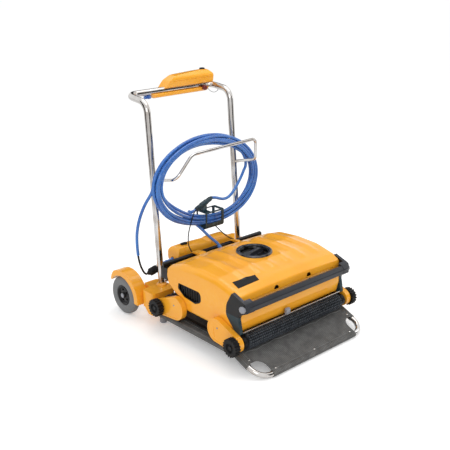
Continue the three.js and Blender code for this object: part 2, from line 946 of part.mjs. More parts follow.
// Room for a handle's cheek in the body, with clearance all round.
function cheekPocket() {
  const inner = cheek(gap).add(alongX(cheekOutline(), -cheekOuterX - 20, -cheekInnerX - 4));
  let room = inner;
  for (const [dy, dz] of [[gap, 0], [-gap, 0], [0, gap], [0, -gap]]) room = room.add(inner.translate([0, dy, dz]));
  return room;
}

const windowCorners = [
  [125, 259, 8],
  [121, 288, 8],
  [-41, 290, 22],
  [-46, 240, 26],
  [-2, 219, 14],
  [80, 228, 20],
];

function windowOutline(shrink) {
  const middle = { y: 36, z: 256 };
  return outline(windowCorners.map(([y, z, r]) => {
    const reach = Math.hypot(y - middle.y, z - middle.z);
    const k = 1 - shrink / (reach * 0.55);
    return [middle.y + (y - middle.y) * k, middle.z + (z - middle.z) * k, r * k];
  }), 2);
}

function handlePockets() {
  const front = cheekPocket();
  return front.add(mirrored(front));
}

// Everything of the body that the lid takes: the top, and the whole of both side walls.
function lidRegion(air = 0) {
  let region = box(-bodyHalf - 50, bodyHalf + 50, -340, 260, seamZ - air, 450);
  for (const side of sides) {
    region = region.add(onSide(side, box(-bodyHalf - 50, wall + air - bodyHalf, -340, 260, 100, 450)));
  }
  return region;
}

function bodyShell() {
  let shell = bodyMass().subtract(bodyMass(wall));
  for (const side of sides) {
    shell = shell.subtract(onSide(side, alongX(windowOutline(0), -bodyHalf - 10, -bodyHalf + 30)));
  }
  return shell.subtract(handlePockets());
}

function innerWalls() {
  const outer = bodyHalf - wall - gap;
  const inner = outer - wall;
  const room = box(-inner, inner, -340, 260, 100, 450);
  return bodyMass().intersect(box(-outer, outer, -340, 260, 100, seamZ - gap)).subtract(bodyMass(wall).intersect(room));
}

function hullSolid() {
  let hull = innerWalls();
  for (const side of sides) {
    const channelTop = axleZ + drumRadius + beltWall + 6;
    const channel = box(-bodyHalf + wall, -beltInnerX + 4, -330, 260, 100, channelTop);
    const window = alongX(windowOutline(0), -bodyHalf - 10, -bodyHalf + 30);
    hull = hull.subtract(onSide(side, channel)).subtract(onSide(side, window));
  }
  return hull.subtract(handlePockets());
}

function lidSolid() {
  const outletBore = alongZ(circle(0, outletY, roomy(outletHole, 36, 0), 36), 300, 450);
  let lid = bodyShell().intersect(lidRegion()).subtract(outletBore);
  for (const x of [-109, 109]) {
    lid = lid.subtract(alongY(circle(x, seamZ - 2, 15, 16), -310, -276));
  }
  return inletRoom(lid);
}

function sideGrip() {
  const tray = alongX(windowOutline(0.6), -bodyHalf + 2, -bodyHalf + 16);
  const hollow = alongX(windowOutline(9), -bodyHalf - 1, -bodyHalf + 12);
  let grip = tray.subtract(hollow);
  for (const y of [-8, 34, 76]) {
    const rib = box(-bodyHalf + 5, -bodyHalf + 13, y - 3, y + 3, 225, 288);
    grip = grip.add(rib.intersect(tray));
  }
  return grip;
}

// ---- robot running gear ----
function armSolid(pivot) {
  const points = [];
  const dy = armNose.y - pivot.y;
  const dz = armNose.z - pivot.z;
  const lean = Math.atan2(dz, dy);
  const spread = Math.acos((pivot.r - armNose.r) / Math.hypot(dy, dz));
  const steps = 8;
  for (let k = 0; k <= steps; k++) {
    const a = lean + spread + ((2 * Math.PI - 2 * spread) * k) / steps;
    points.push([pivot.y + pivot.r * Math.cos(a), pivot.z + pivot.r * Math.sin(a)]);
  }
  for (let k = 0; k <= steps - 2; k++) {
    const a = lean - spread + (2 * spread * k) / (steps - 2);
    points.push([armNose.y + armNose.r * Math.cos(a), armNose.z + armNose.r * Math.sin(a)]);
  }
  const plate = alongX(outline(points), -armOuterX, -armInnerX, 6, 1);
  const boss = rodX(-armInnerX - 5, -bodyHalf - gap, pivot.y, pivot.z, 34, 16);
  const shaftHole = rodX(-armOuterX - 5, -armInnerX + 5, axleFrontY, axleZ, roomy(shaftRadius, 16, runningGap), 16);
  return plate.add(boss).subtract(shaftHole);
}

function climber() {
  const points = [];
  for (let i = 0; i < climberLobes; i++) {
    for (const [shift, r] of [[-0.3, climberRoot], [-0.2, climberRadius], [0.2, climberRadius], [0.3, climberRoot]]) {
      const a = ((i + shift) * 2 * Math.PI) / climberLobes;
      points.push([axleFrontY + r * Math.cos(a), axleZ + r * Math.sin(a)]);
    }
  }
  const tread = alongX(outline(points), -climberOuterX, -climberInnerX);
  const dish = turnedX([[0, -1], [20, -1], [24, -6], [24, -12], [0, -12]], 12, -climberOuterX + 6, axleFrontY, axleZ);
  const bore = rodX(-climberInnerX - 15 - gap, -climberInnerX + 5, axleFrontY, axleZ, roomy(shaftRadius, 16), 16);
  return tread.subtract(dish).subtract(bore);
}

function brush() {
  const points = [];
  for (let i = 0; i < brushFins; i++) {
    for (const [shift, r] of [[-0.24, brushCore], [-0.14, brushRadius], [0.14, brushRadius], [0.24, brushCore]]) {
      const a = ((i + shift) * 2 * Math.PI) / brushFins;
      points.push([axleFrontY + r * Math.cos(a), axleZ + r * Math.sin(a)]);
    }
  }
  const drumEnd = cheekInnerX + 6;
  const shaftEnd = climberInnerX + 15;
  return alongX(outline(points), -brushHalf, brushHalf)
    .add(rodX(-drumEnd, drumEnd, axleFrontY, axleZ, drumRadius, 20))
    .add(rodX(-shaftEnd, shaftEnd, axleFrontY, axleZ, shaftRadius, 16));
}

function beltOutline(r) {
  const points = [];
  const steps = 7;
  for (let k = 0; k <= steps; k++) {
    const a = Math.PI / 2 + (Math.PI * k) / steps;
    points.push([axleFrontY + r * Math.cos(a), axleZ + r * Math.sin(a)]);
  }
  for (let k = 0; k <= steps; k++) {
    const a = -Math.PI / 2 + (Math.PI * k) / steps;
    points.push([axleRearY + r * Math.cos(a), axleZ + r * Math.sin(a)]);
  }
  return outline(points);
}

function belt() {
  const inside = roomy(drumRadius, 14);
  const loop = beltOutline(inside + beltWall);
  loop.holes.push(beltOutline(inside));
  return alongX(loop, -beltOuterX, -beltInnerX);
}

function driveUnit() {
  const base = box(-150, 150, -118, 49, bodyBottomZ + wall + gap, 300);
  const neck = alongZ(circle(0, outletY, 22, 20), 299, 340);
  return base.add(neck);
}

// ---- robot top fittings ----
function outletRing() {
  const profile = [
    [outletRim, 372],
    [outletHole - gap, 372],
    [outletHole - gap, 400.8],
    [outletRadius, 400.8],
    [outletRadius - 2, outletTopZ - 1],
    [outletRim + 2, outletTopZ],
    [outletRim, 372],
  ];
  return turnedZ(profile, 28, 0, outletY, 0);
}

function outletCap() {
  const r = outletRim - runningGap;
  const profile = [
    [0, 380],
    [r, 380],
    [r, outletTopZ - 5],
    [r - 5, outletTopZ - 5],
    [r - 8, 386],
    [0, 386],
  ];
  const dish = turnedZ(profile, 28, 0, outletY, 0);
  const grip = alongX(outline([
    [outletY - 17, 384],
    [outletY - 12, outletTopZ + 3, 8],
    [outletY + 12, outletTopZ + 3, 8],
    [outletY + 17, 384],
  ]), -60, 60, 6, 2);
  return dish.add(grip.translate([0, -outletY, 0]).rotate([0, 0, 12]).translate([0, outletY, 0]));
}

function propeller() {
  const hub = alongZ(circle(0, 0, 13, 18), 346, 370);
  let body = hub;
  for (let i = 0; i < 4; i++) {
    const blade = box(8, 60, -11, 11, -1.6, 1.6).rotate([28, 0, 0]).translate([0, 0, 358]);
    body = body.add(blade.rotate([0, 0, i * 90]));
  }
  return body.translate([0, outletY, 0]);
}

const inletX = 11;
const inletY = 205;
const inletZ = 330;
const inletLine = new THREE.Vector3(-0.34, 0.5, 0.8).normalize();
function cableInlet() {
  const profile = [
    [0, 0],
    [11, 0],
    [11, 12],
    [14, 12.5],
    [14, 18],
    [10, 21],
    [9, 34],
    [0, 34],
  ];
  return onInletLine(profile, 16);
}

// The inlet leans back and a little to the left, the way the cable arrives.
function onInletLine(profile, segments) {
  const turn = new THREE.Quaternion().setFromUnitVectors(new THREE.Vector3(0, 1, 0), inletLine);
  return solid(turned(profile, segments).applyQuaternion(turn).translate(inletX, inletY, inletZ));
}

function alongInlet(distance) {
  return inletLine.clone().multiplyScalar(distance).add(new THREE.Vector3(inletX, inletY, inletZ)).toArray();
}

function inletRoom(body) {
  const reach = 15;
  return body.subtract(onInletLine([[0, -20], [reach, -20], [reach, 60], [0, 60]], 16));
}

function brushGuard() {
  const end = bodyHalf - 19;
  return rodX(-end, end, -307.5, 179, 3, 8);
}

function panelClip() {
  return alongX(outline([
    [-303.5, 182, 2],
    [-314, 182, 5],
    [-318, 204, 8],
    [-302, 216, 4],
  ], 2), -60, -34, 2, 1);
}

const capY = -326;
function handleCap() {
  const profile = [
    [0, -5],
    [17, -5],
    [17, 6],
    [13, 9],
    [0, 10],
  ];
  const facing = Math.asin((-capY + handleFrontY + handleCorner) / handleCorner);
  const reach = handleCorner + gap;
  const x = -cheekOuterX + handleCorner - reach * Math.cos(facing);
  const y = handleFrontY + handleCorner - reach * Math.sin(facing);
  return solid(turned(profile, 16).rotateZ(Math.PI / 2).rotateZ(facing).translate(x, y, 306))
    .subtract(cheek(gap));
}

// ---- cable ----
function cableCoil() {
  const section = [];
  const count = 8;
  for (let i = 0; i <= count; i++) {
    const a = (-2 * Math.PI * i) / count;
    section.push([coilWide + coilThick * Math.cos(a), coilDeep * Math.sin(a)]);
  }
  const bundle = turned(section, 26);
  const points = bundle.getAttribute("position");
  for (let i = 0; i < points.count; i++) {
    const lift = points.getZ(i) * (1 - coilTall / coilWide) * (coilWide / Math.hypot(points.getX(i), points.getZ(i)));
    points.setZ(i, points.getZ(i) - lift);
  }
  const rad = Math.PI / 180;
  const hung = bundle.rotateY(coilRoll * rad).rotateZ(coilTurn * rad).translate(12, coilY, coilZ);
  return solid(hung).subtract(cableHook(hookRadius + 0.6));
}

function robotLead() {
  return cord([
    [-57, 292, 446],
    [-46, 275, 421],
    [-33, 258, 397],
    alongInlet(54),
    alongInlet(34.5),
  ], cableRadius, 8);
}

function supplyLead() {
  return cord([
    [-368, 268, 745],
    [-376, 276, 700],
    [-400, 300, 640],
    [-418, 320, 570],
    [-424, 335, 500],
    [-416, 350, 430],
    [-402, 365, 372],
  ], cableRadius, 12);
}

function supplySleeve() {
  return cord([
    [-401.5, 365.6, 369],
    [-392, 374, 340],
    [-372, 388, 296],
    [-352, 398, 262],
    [-340, 401, 245],
    [-327, 402, 237],
  ], 5, 12);
}

// A strap's buckle round the bundle: a trough below, two side hoops, a thin top, and the cable's plug held on it.
function strapClip() {
  const [x0, x1, y0, y1, z0, z1] = [-44, 76, 268, 344, 438, 530];
  const outer = box(x0, x1, y0, y1, z0, z1);
  const room = box(x0 - 8, x1 + 8, y0 + 6, y1 - 6, z0 + 7, z1 - 7);
  const windows = box(x0 + 8, x1 - 15, y0 - 8, y1 + 8, z0 + 30, z1 - 9);
  const neck = box(-36, -14, 297, 315, z1 - 2, z1 + 32);
  return outer.subtract(room).subtract(windows).add(neck).add(leadPlug());
}

const plugFrom = new THREE.Vector3(-82, 306, 546);
const plugTo = new THREE.Vector3(26, 306, 588);
function leadPlug() {
  const line = plugTo.clone().sub(plugFrom);
  const reach = line.length();
  const profile = [
    [0, 0],
    [9, 0],
    [11, 6],
    [11, 34],
    [14, 38],
    [14, reach - 34],
    [11, reach - 30],
    [9, reach],
    [0, reach],
  ];
  const turn = new THREE.Quaternion().setFromUnitVectors(new THREE.Vector3(0, 1, 0), line.normalize());
  return solid(turned(profile, 14).applyQuaternion(turn).translate(plugFrom.x, plugFrom.y, plugFrom.z));
}

function tieLeft() {
  return cord([
    [-138, 296, 462],
    [-149, 287, 424],
    [-155, 276, 388],
    [-150, 269, 362],
    [-142, 265, 346.4],
  ], 2.6, 7, 6);
}

function tieRight() {
  return cord([
    [50, 306, 431],
    [86, 290, 388],
    [116, 273, 358],
    [141, 265, 346.4],
  ], 2.6, 6, 6);
}

function lanyard() {
  return cord([
    [knobX + 18, controlFrontY - 2, lipTopZ - 12],
    [knobX + 36, controlFrontY - 6, lipBottomZ],
    [knobX + 58, controlFrontY - 12, lipBottomZ - 8],
    [knobX + 75, controlFrontY - 18, lipBottomZ],
    [knobX + 81, controlFrontY - 24, lipTopZ - 14],
  ], 1.2, 10, 6);
}

// ---- assembly ----
function addCaddy() {
  addPiece("caddy_hoop", caddyHoop(), steel);
  addPiece("rail_frame", railFrame(), steel);
  addPiece("mesh_sheet", meshSheet(), mesh);
  addPiece("cable_hook", cableHook(), steel);
  addPiece("rear_cross_tube", rearCrossTube(), steel);
  addPiece("wheel_axle", axle(), steel);
  for (const side of sides) {
    const tag = sideName(side);
    addPiece("corner_block_" + tag, onSide(side, cornerBlock()), yellow);
    addPiece("leg_" + tag, onSide(side, leg()), grey);
    addPiece("fender_" + tag, onSide(side, fender()), yellow);
    addPiece("tyre_" + tag, onSide(side, tyre()), tyreGrey);
    addPiece("rim_" + tag, onSide(side, rim()), black);
  }
}

function addElectrics() {
  addPiece("control_shell", buttonWell(controlShell()), yellow);
  addPiece("control_lip", controlLip(), yellow);
  addPiece("control_button", controlButton(), rubber);
  addPiece("lock_knob", lockKnob(), red);
  addPiece("control_socket", controlSocket(), blue);
  addPiece("supply_box", supplyBox(), yellow);
  addPiece("supply_button", supplyButton(), rubber);
  addPiece("supply_plug", supplyPlug(), blue);
  addPiece("coupling_body", couplingBody(), rubber);
}

function addRobot() {
  addPiece("robot_hull", hullSolid(), yellow);
  addPiece("robot_lid", lidSolid(), yellow);
  addPiece("handle_front", frontHandle(), black);
  addPiece("handle_rear", rearHandle(), black);
  addPiece("brush_front", brush(), rubber);
  addPiece("brush_rear", toRear(brush()), rubber);
  for (const side of sides) {
    const tag = sideName(side);
    addPiece("arm_front_" + tag, onSide(side, armSolid(armPivot)), yellow);
    addPiece("arm_rear_" + tag, toRear(onSide(side, armSolid(fromRear(rearPivot)))), yellow);
    addPiece("climber_front_" + tag, onSide(side, climber()), rubber);
    addPiece("climber_rear_" + tag, toRear(onSide(side, climber())), rubber);
    addPiece("belt_" + tag, onSide(side, belt()), rubber);
    addPiece("side_grip_" + tag, onSide(side, sideGrip()), black);
    addPiece("handle_cap_" + tag, onSide(side, handleCap()), grey);
  }
  addPiece("outlet_ring", outletRing(), black);
  addPiece("outlet_cap", outletCap(), black);
  addPiece("propeller", propeller(), black);
  addPiece("drive_unit", driveUnit(), grey);
  addPiece("cable_inlet", cableInlet(), blue);
  addPiece("brush_guard", brushGuard(), steel);
  addPiece("panel_clip", panelClip(), grey);
}

function addCable() {
  addPiece("cable_coil", cableCoil(), blue);
  addPiece("robot_lead", robotLead(), blue);
  addPiece("supply_lead", supplyLead(), blue);
  addPiece("supply_sleeve", supplySleeve(), rubber);
  addPiece("strap_clip", strapClip(), teal);
  addPiece("tie_left", tieLeft(), black);
  addPiece("tie_right", tieRight(), black);
  addPiece("lanyard", lanyard(), black);
}

// The origin is on the floor, midway between the toe and the rearmost point of the caddy.
function centreOnFloor() {
  const bounds = new THREE.Box3().setFromObject(root);
  root.position.set(0, -(bounds.min.y + bounds.max.y) / 2, -bounds.min.z);
}

addCaddy();
addElectrics();
addRobot();
centreOnFloor();
addCable();

export default root;
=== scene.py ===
# Pool cleaning robot on its two-wheeled caddy, with the floating cable hung on the caddy's hook.
import math
import random
import bpy
import bmesh
from mathutils import Matrix, Vector


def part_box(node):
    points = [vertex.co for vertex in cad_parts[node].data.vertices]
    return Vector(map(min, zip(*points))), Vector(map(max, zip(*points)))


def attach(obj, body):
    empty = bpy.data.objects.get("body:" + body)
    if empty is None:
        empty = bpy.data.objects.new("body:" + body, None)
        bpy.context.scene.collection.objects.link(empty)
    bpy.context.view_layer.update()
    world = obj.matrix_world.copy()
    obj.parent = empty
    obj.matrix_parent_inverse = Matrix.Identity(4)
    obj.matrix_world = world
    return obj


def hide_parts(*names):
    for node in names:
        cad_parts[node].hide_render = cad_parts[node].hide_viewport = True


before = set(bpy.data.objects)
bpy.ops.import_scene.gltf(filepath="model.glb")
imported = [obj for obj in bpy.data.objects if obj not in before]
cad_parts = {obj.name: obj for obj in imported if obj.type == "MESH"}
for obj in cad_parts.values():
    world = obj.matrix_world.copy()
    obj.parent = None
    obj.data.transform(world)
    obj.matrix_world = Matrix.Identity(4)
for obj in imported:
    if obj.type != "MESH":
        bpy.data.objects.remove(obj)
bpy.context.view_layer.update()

scene = bpy.context.scene

# The numbers below are millimetres with the wheels' axle at this y and z.
wheelAxle = (521, 100)
wheelLow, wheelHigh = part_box("tyre_left")
shiftY = (wheelLow[1] + wheelHigh[1]) * 500 - wheelAxle[0]
toFrame = Matrix.Scale(0.001, 4) @ Matrix.Translation((0, shiftY, 0))
sides = (-1, 1)
midY = -36   # the robot is alike to the front and the rear of this line


def place(point):
    return toFrame @ Vector(point)


def addObject(name, data):
    made = bpy.data.objects.new(name, data)
    scene.collection.objects.link(made)
    return made


# ---- camera ----
cameraView = {"place": (-2.4556, -2.6233, 1.7928), "turn": (70.27, 0.07, -42.18), "lens": 62.17}
camera = addObject("camera", bpy.data.cameras.new("camera"))
camera.data.lens = cameraView["lens"]
camera.data.sensor_width = 36
camera.location = cameraView["place"]
camera.rotation_euler = [math.radians(a) for a in cameraView["turn"]]
scene.camera = camera
print("camera placed")


# ---- shared shader groups ----
def feed(tree, socket, value):
    if isinstance(value, (int, float, tuple)):
        socket.default_value = value
    else:
        tree.links.new(value, socket)


def newGroup(name, inputs, outputs):
    group = bpy.data.node_groups.new(name, "ShaderNodeTree")
    for label, value in inputs.items():
        socket = group.interface.new_socket(label, in_out="INPUT", socket_type="NodeSocketFloat")
        socket.default_value = value
    for label in outputs:
        group.interface.new_socket(label, in_out="OUTPUT", socket_type="NodeSocketFloat")
    given, made = group.nodes.new("NodeGroupInput").outputs, group.nodes.new("NodeGroupOutput").inputs
    return group, given, made, group.nodes.new("ShaderNodeTexCoord").outputs["Object"]


def mathNode(tree, how, first, second=0.5):
    node = tree.nodes.new("ShaderNodeMath")
    node.operation = how
    feed(tree, node.inputs[0], first)
    feed(tree, node.inputs[1], second)
    return node.outputs[0]


def spread(tree, value, fromLow, fromHigh, toLow=0.0, toHigh=1.0):
    node = tree.nodes.new("ShaderNodeMapRange")
    for i, number in enumerate((value, fromLow, fromHigh, toLow, toHigh)):
        feed(tree, node.inputs[i], number)
    return node.outputs[0]


def noiseNode(tree, vector, scale, detail=2.0, roughness=0.5):
    node = tree.nodes.new("ShaderNodeTexNoise")
    for label, value in (("Vector", vector), ("Scale", scale), ("Detail", detail), ("Roughness", roughness)):
        feed(tree, node.inputs[label], value)
    return node.outputs["Fac"]


def blendColours(tree, amount, first, second):
    node = tree.nodes.new("ShaderNodeMix")
    node.data_type = "RGBA"
    for socket, value in ((node.inputs["Factor"], amount), (node.inputs[6], first), (node.inputs[7], second)):
        feed(tree, socket, value)
    return node.outputs[2]


# Moulded plastic: a fine grain, broad cloudiness and scuffs.
def mouldedGroup():
    scales = {"Grain Scale": 900.0, "Cloud Scale": 9.0}
    group, given, made, where = newGroup("mouldedSkin", scales, ("Grain", "Cloud", "Scuff"))
    feed(group, made["Grain"], noiseNode(group, where, given["Grain Scale"]))
    feed(group, made["Cloud"], spread(group, noiseNode(group, where, given["Cloud Scale"], 3.0), 0.3, 0.7))
    feed(group, made["Scuff"], spread(group, noiseNode(group, where, 46.0, 5.0, 0.65), 0.55, 0.8))
    return group


# Lightens a part's outer edges: wear on most finishes, a painted highlight on the collar, the blue and partly the bar.
def edgeGroup():
    group, given, made, where = newGroup("edgeWearAndHighlight", {"Break Up": 60.0}, ("Edge",))
    edge = spread(group, group.nodes.new("ShaderNodeNewGeometry").outputs["Pointiness"], 0.52, 0.6)
    broken = spread(group, noiseNode(group, where, given["Break Up"]), 0.35, 0.65)
    feed(group, made["Edge"], mathNode(group, "MULTIPLY", edge, broken))
    return group


# Long fine draw lines and faint blotches on polished tube.
def tubeGroup():
    group, given, made, where = newGroup("drawnTube", {"Blotch Scale": 14.0}, ("Lines", "Blotch"))
    feed(group, made["Lines"], noiseNode(group, where, 420.0))
    feed(group, made["Blotch"], spread(group, noiseNode(group, where, given["Blotch Scale"]), 0.35, 0.7))
    return group


# An open woven mesh: crossing yarns with small holes between them, and broader columns.
def weaveGroup():
    pitches = {"Pitch": 0.0042, "Column Pitch": 0.0089}
    group, given, made, where = newGroup("openWeave", pitches, ("Yarn", "Hole", "Row"))
    split = group.nodes.new("ShaderNodeSeparateXYZ")
    feed(group, split.inputs[0], where)

    def wave(axis, pitch):
        turns = mathNode(group, "DIVIDE", split.outputs[axis], given[pitch])
        return mathNode(group, "COSINE", mathNode(group, "MULTIPLY", turns, 2 * math.pi))
    high = mathNode(group, "MAXIMUM", wave(0, "Pitch"), wave(1, "Pitch"))
    feed(group, made["Yarn"], spread(group, high, -1.0, 1.0))
    feed(group, made["Hole"], spread(group, high, -0.15, -0.5))
    columns = spread(group, wave(0, "Column Pitch"), -1.0, 1.0, 0.35, 1.0)
    blotch = spread(group, noiseNode(group, where, 26.0, 3.0), 0.35, 0.65, 0.35, 0.85)
    feed(group, made["Row"], mathNode(group, "MULTIPLY", columns, blotch))
    return group


groups = {"moulded": mouldedGroup(), "edges": edgeGroup(), "tube": tubeGroup(), "weave": weaveGroup()}


def linear(*channels):
    return tuple(c / 255 / 12.92 if c <= 10 else ((c / 255 + 0.055) / 1.055) ** 2.4 for c in channels) + (1.0,)


def newFinish(name):
    finish = bpy.data.materials.new(name)
    finish.use_nodes = True
    return finish, finish.node_tree, finish.node_tree.nodes["Principled BSDF"].inputs


def addGroup(tree, key):
    node = tree.nodes.new("ShaderNodeGroup")
    node.node_tree = groups[key]
    return node


def bumpFrom(tree, sockets, height, distance):
    bump = tree.nodes.new("ShaderNodeBump")
    bump.inputs["Distance"].default_value = distance
    bump.inputs["Strength"].default_value = 1.0
    feed(tree, bump.inputs["Height"], height)
    feed(tree, sockets["Normal"], bump.outputs["Normal"])


# A moulded plastic or rubber: colour, its cloudy variation, lighter edges (wear, and on some finishes a painted
# highlight), roughness range and grain.
def plasticFinish(name, colour, shade, wornAndHighlightColour, rough, grain=(900.0, 0.00004), coat=0.0, wearAndHighlight=0.5, specular=0.5):
    finish, tree, sockets = newFinish(name)
    moulded = addGroup(tree, "moulded")
    moulded.inputs["Grain Scale"].default_value = grain[0]
    skin = moulded.outputs
    cloudy = blendColours(tree, skin["Cloud"], linear(*colour), linear(*shade))
    amount = mathNode(tree, "MULTIPLY", addGroup(tree, "edges").outputs["Edge"], wearAndHighlight)
    feed(tree, sockets["Base Color"], blendColours(tree, amount, cloudy, linear(*wornAndHighlightColour)))
    feed(tree, sockets["Roughness"], spread(tree, skin["Scuff"], 0.0, 1.0, *rough))
    sockets["Coat Weight"].default_value = coat
    sockets["Coat Roughness"].default_value = 0.12
    sockets["Specular IOR Level"].default_value = specular
    bumpFrom(tree, sockets, skin["Grain"], grain[1])
    return finish


def tubeFinish(name, colour, warm, rough):
    finish, tree, sockets = newFinish(name)
    drawn = addGroup(tree, "tube").outputs
    sockets["Metallic"].default_value = 1.0
    feed(tree, sockets["Base Color"], blendColours(tree, drawn["Blotch"], linear(*colour), linear(*warm)))
    feed(tree, sockets["Roughness"], spread(tree, drawn["Blotch"], 0.0, 1.0, *rough))
    bumpFrom(tree, sockets, drawn["Lines"], 0.00002)
    return finish


def weaveFinish(name, yarn, light, throughShade):
    finish, tree, sockets = newFinish(name)
    weave = addGroup(tree, "weave").outputs
    cloth = blendColours(tree, weave["Row"], linear(*yarn), linear(*light))
    # The holes are real, but their near-black colour is painted shade, as if the dark under the sheet showed through.
    shadow = mathNode(tree, "MULTIPLY", weave["Hole"], throughShade)
    feed(tree, sockets["Base Color"], blendColours(tree, shadow, cloth, linear(18, 18, 19)))
    feed(tree, sockets["Roughness"], spread(tree, addGroup(tree, "moulded").outputs["Cloud"], 0.0, 1.0, 0.62, 0.8))
    bumpFrom(tree, sockets, weave["Yarn"], 0.0006)
    return finish


finishes = {
    "yellow": plasticFinish("yellowPlastic", (252, 177, 48), (249, 169, 41), (254, 204, 118), (0.2, 0.3),
                            coat=0.15, specular=0.45, wearAndHighlight=0.1),
    "black": plasticFinish("blackPlastic", (20, 20, 22), (15, 15, 17), (62, 64, 68), (0.28, 0.45), specular=0.3),
    # Its pale edge colour is partly wear and partly a painted highlight along the top edges of the bar and the cap
    # grip.
    "bar": plasticFinish("barPlastic", (42, 44, 51), (34, 36, 42), (96, 100, 110), (0.3, 0.46),
                         specular=0.35, wearAndHighlight=0.8),
    # Its pale edge colour at full strength is a painted highlight round the outlet collar's rim.
    "collar": plasticFinish("collarPlastic", (24, 24, 26), (18, 18, 20), (128, 132, 142), (0.2, 0.3),
                            specular=0.4, wearAndHighlight=1.0),
    "blade": plasticFinish("bladePlastic", (34, 58, 66), (28, 48, 55), (74, 100, 110), (0.3, 0.46), specular=0.3),
    "gloss": plasticFinish("glossBlack", (12, 11, 11), (9, 9, 9), (26, 25, 25), (0.14, 0.22), specular=0.2, wearAndHighlight=0.2),
    "rubber": plasticFinish("blackRubber", (19, 19, 20), (14, 14, 15), (44, 44, 46), (0.5, 0.75), (500.0, 0.0001),
                            specular=0.25),
    "bristle": plasticFinish("bristleRubber", (64, 68, 74), (30, 33, 38), (88, 94, 100), (0.4, 0.6), (500.0, 0.0001),
                             specular=0.35),
    "tyre": plasticFinish("greyTyre", (126, 127, 128), (116, 117, 118), (146, 147, 148), (0.6, 0.8), (600.0, 0.00008),
                          specular=0.25),
    "tube": tubeFinish("polishedTube", (218, 216, 214), (188, 180, 173), (0.08, 0.16)),
    "grey": plasticFinish("greyPlastic", (152, 153, 160), (140, 141, 148), (178, 178, 184), (0.35, 0.5)),
    "mesh": weaveFinish("meshFabric", (66, 66, 65), (124, 123, 121), 0.6),
    "thread": weaveFinish("hemThread", (104, 105, 104), (142, 142, 140), 0.2),
    # Its pale edge colour is a painted highlight on the cables, plugs and boot.
    "blue": plasticFinish("bluePlastic", (54, 119, 198), (34, 86, 168), (130, 174, 228), (0.2, 0.34),
                          coat=0.2, wearAndHighlight=0.7),
    "teal": plasticFinish("tealPlastic", (38, 62, 72), (26, 44, 52), (84, 116, 128), (0.25, 0.4), specular=0.35),
    "red": plasticFinish("redPlastic", (120, 28, 20), (100, 22, 16), (160, 60, 50), (0.3, 0.45)),
}
print("finishes made")


# ---- shape tools, in millimetres ----
# A closed outline of [u, v, corner radius].
def outline(corners, steps=8):
    points = []
    count = len(corners)
    for i, corner in enumerate(corners):
        here = Vector(corner[:2])
        if len(corner) < 3:
            points.append(here)
            continue
        back = (Vector(corners[i - 1][:2]) - here).normalized()
        ahead = (Vector(corners[(i + 1) % count][:2]) - here).normalized()
        half = math.acos(max(-1, min(1, back.dot(ahead)))) / 2
        reach = corner[2] / math.tan(half)
        centre = here + (back + ahead).normalized() * (corner[2] / math.sin(half))
        start, end = here + back * reach - centre, here + ahead * reach - centre
        sweep = math.atan2(start.x * end.y - start.y * end.x, start.dot(end))
        points += [centre + Matrix.Rotation(sweep * k / steps, 2) @ start for k in range(steps + 1)]
    return points


def circle(u, v, r, count=48):
    angles = [2 * math.pi * i / count for i in range(count)]
    return [Vector((u + r * math.cos(a), v + r * math.sin(a))) for a in angles]


def solid(points, faces, slivers=False):
    data = bpy.data.meshes.new("work")
    data.from_pydata([Vector(p) for p in points], [], faces)
    shape = bmesh.new()
    shape.from_mesh(data)
    bmesh.ops.remove_doubles(shape, verts=shape.verts, dist=0.001)
    if slivers:
        bmesh.ops.dissolve_degenerate(shape, edges=shape.edges, dist=0.0005)
    bmesh.ops.recalc_face_normals(shape, faces=shape.faces)
    shape.to_mesh(data)
    shape.free()
    return addObject("work", data)


def prism(points, axis, start, end):
    turn = {"x": (2, 0, 1), "y": (0, 2, 1), "z": (0, 1, 2)}[axis]
    count = len(points)
    corners = [[(p[0], p[1], w)[k] for k in turn] for w in (start, end) for p in points]
    faces = [list(range(count)), list(range(count, 2 * count))]
    faces += [(i, (i + 1) % count, (i + 1) % count + count, i + count) for i in range(count)]
    return solid(corners, faces)


def block(x0, x1, y0, y1, z0, z1):
    return prism([(x0, y0), (x1, y0), (x1, y1), (x0, y1)], "z", z0, z1)


# A closed slab between two grids of points.
def slab(low, high):
    rows, wide = len(low), len(low[0])
    size = rows * wide
    faces = []
    for j in range(rows - 1):
        for i in range(wide - 1):
            a = j * wide + i
            b = size + a
            faces += [(a, a + 1, a + wide + 1, a + wide), (b, b + wide, b + wide + 1, b + 1)]
    rim = list(range(wide)) + [j * wide + wide - 1 for j in range(1, rows)]
    rim += [(rows - 1) * wide + i for i in range(wide - 2, -1, -1)] + [j * wide for j in range(rows - 2, 0, -1)]
    faces += [(a, b, b + size, a + size) for a, b in zip(rim, rim[1:] + rim[:1])]
    return solid([p for row in low + high for p in row], faces)


# A turned body about a line; the profile is [radius, along] and runs axis to axis, or closes on itself.
def turned(profile, foot, line, count=64, closed=False):
    aim = Vector((0, 0, 1)).rotation_difference(Vector(line).normalized())
    points, faces = [], []
    rows = len(profile)
    for i in range(count):
        a = 2 * math.pi * i / count
        n = (i + 1) % count
        points += [Vector(foot) + aim @ Vector((r * math.cos(a), r * math.sin(a), h)) for r, h in profile]
        for k in range(rows if closed else rows - 1):
            m = (k + 1) % rows
            faces.append((i * rows + k, i * rows + m, n * rows + m, n * rows + k))
    return solid(points, faces, slivers=True)


# A part of a turned profile, laid again at each pitch.
def repeated(pattern, first, pitch, count):
    return [(r, first + pitch * i + h) for i in range(count) for r, h in pattern]


def combined(base, how, tools):
    for tool in tools:
        change = base.modifiers.new("combine", "BOOLEAN")
        change.operation = how
        change.solver = "MANIFOLD"
        change.object = tool
        bpy.context.view_layer.update()
        made = bpy.data.meshes.new_from_object(base.evaluated_get(bpy.context.evaluated_depsgraph_get()))
        base.modifiers.clear()
        base.data = made
        bpy.data.objects.remove(tool)
    return base


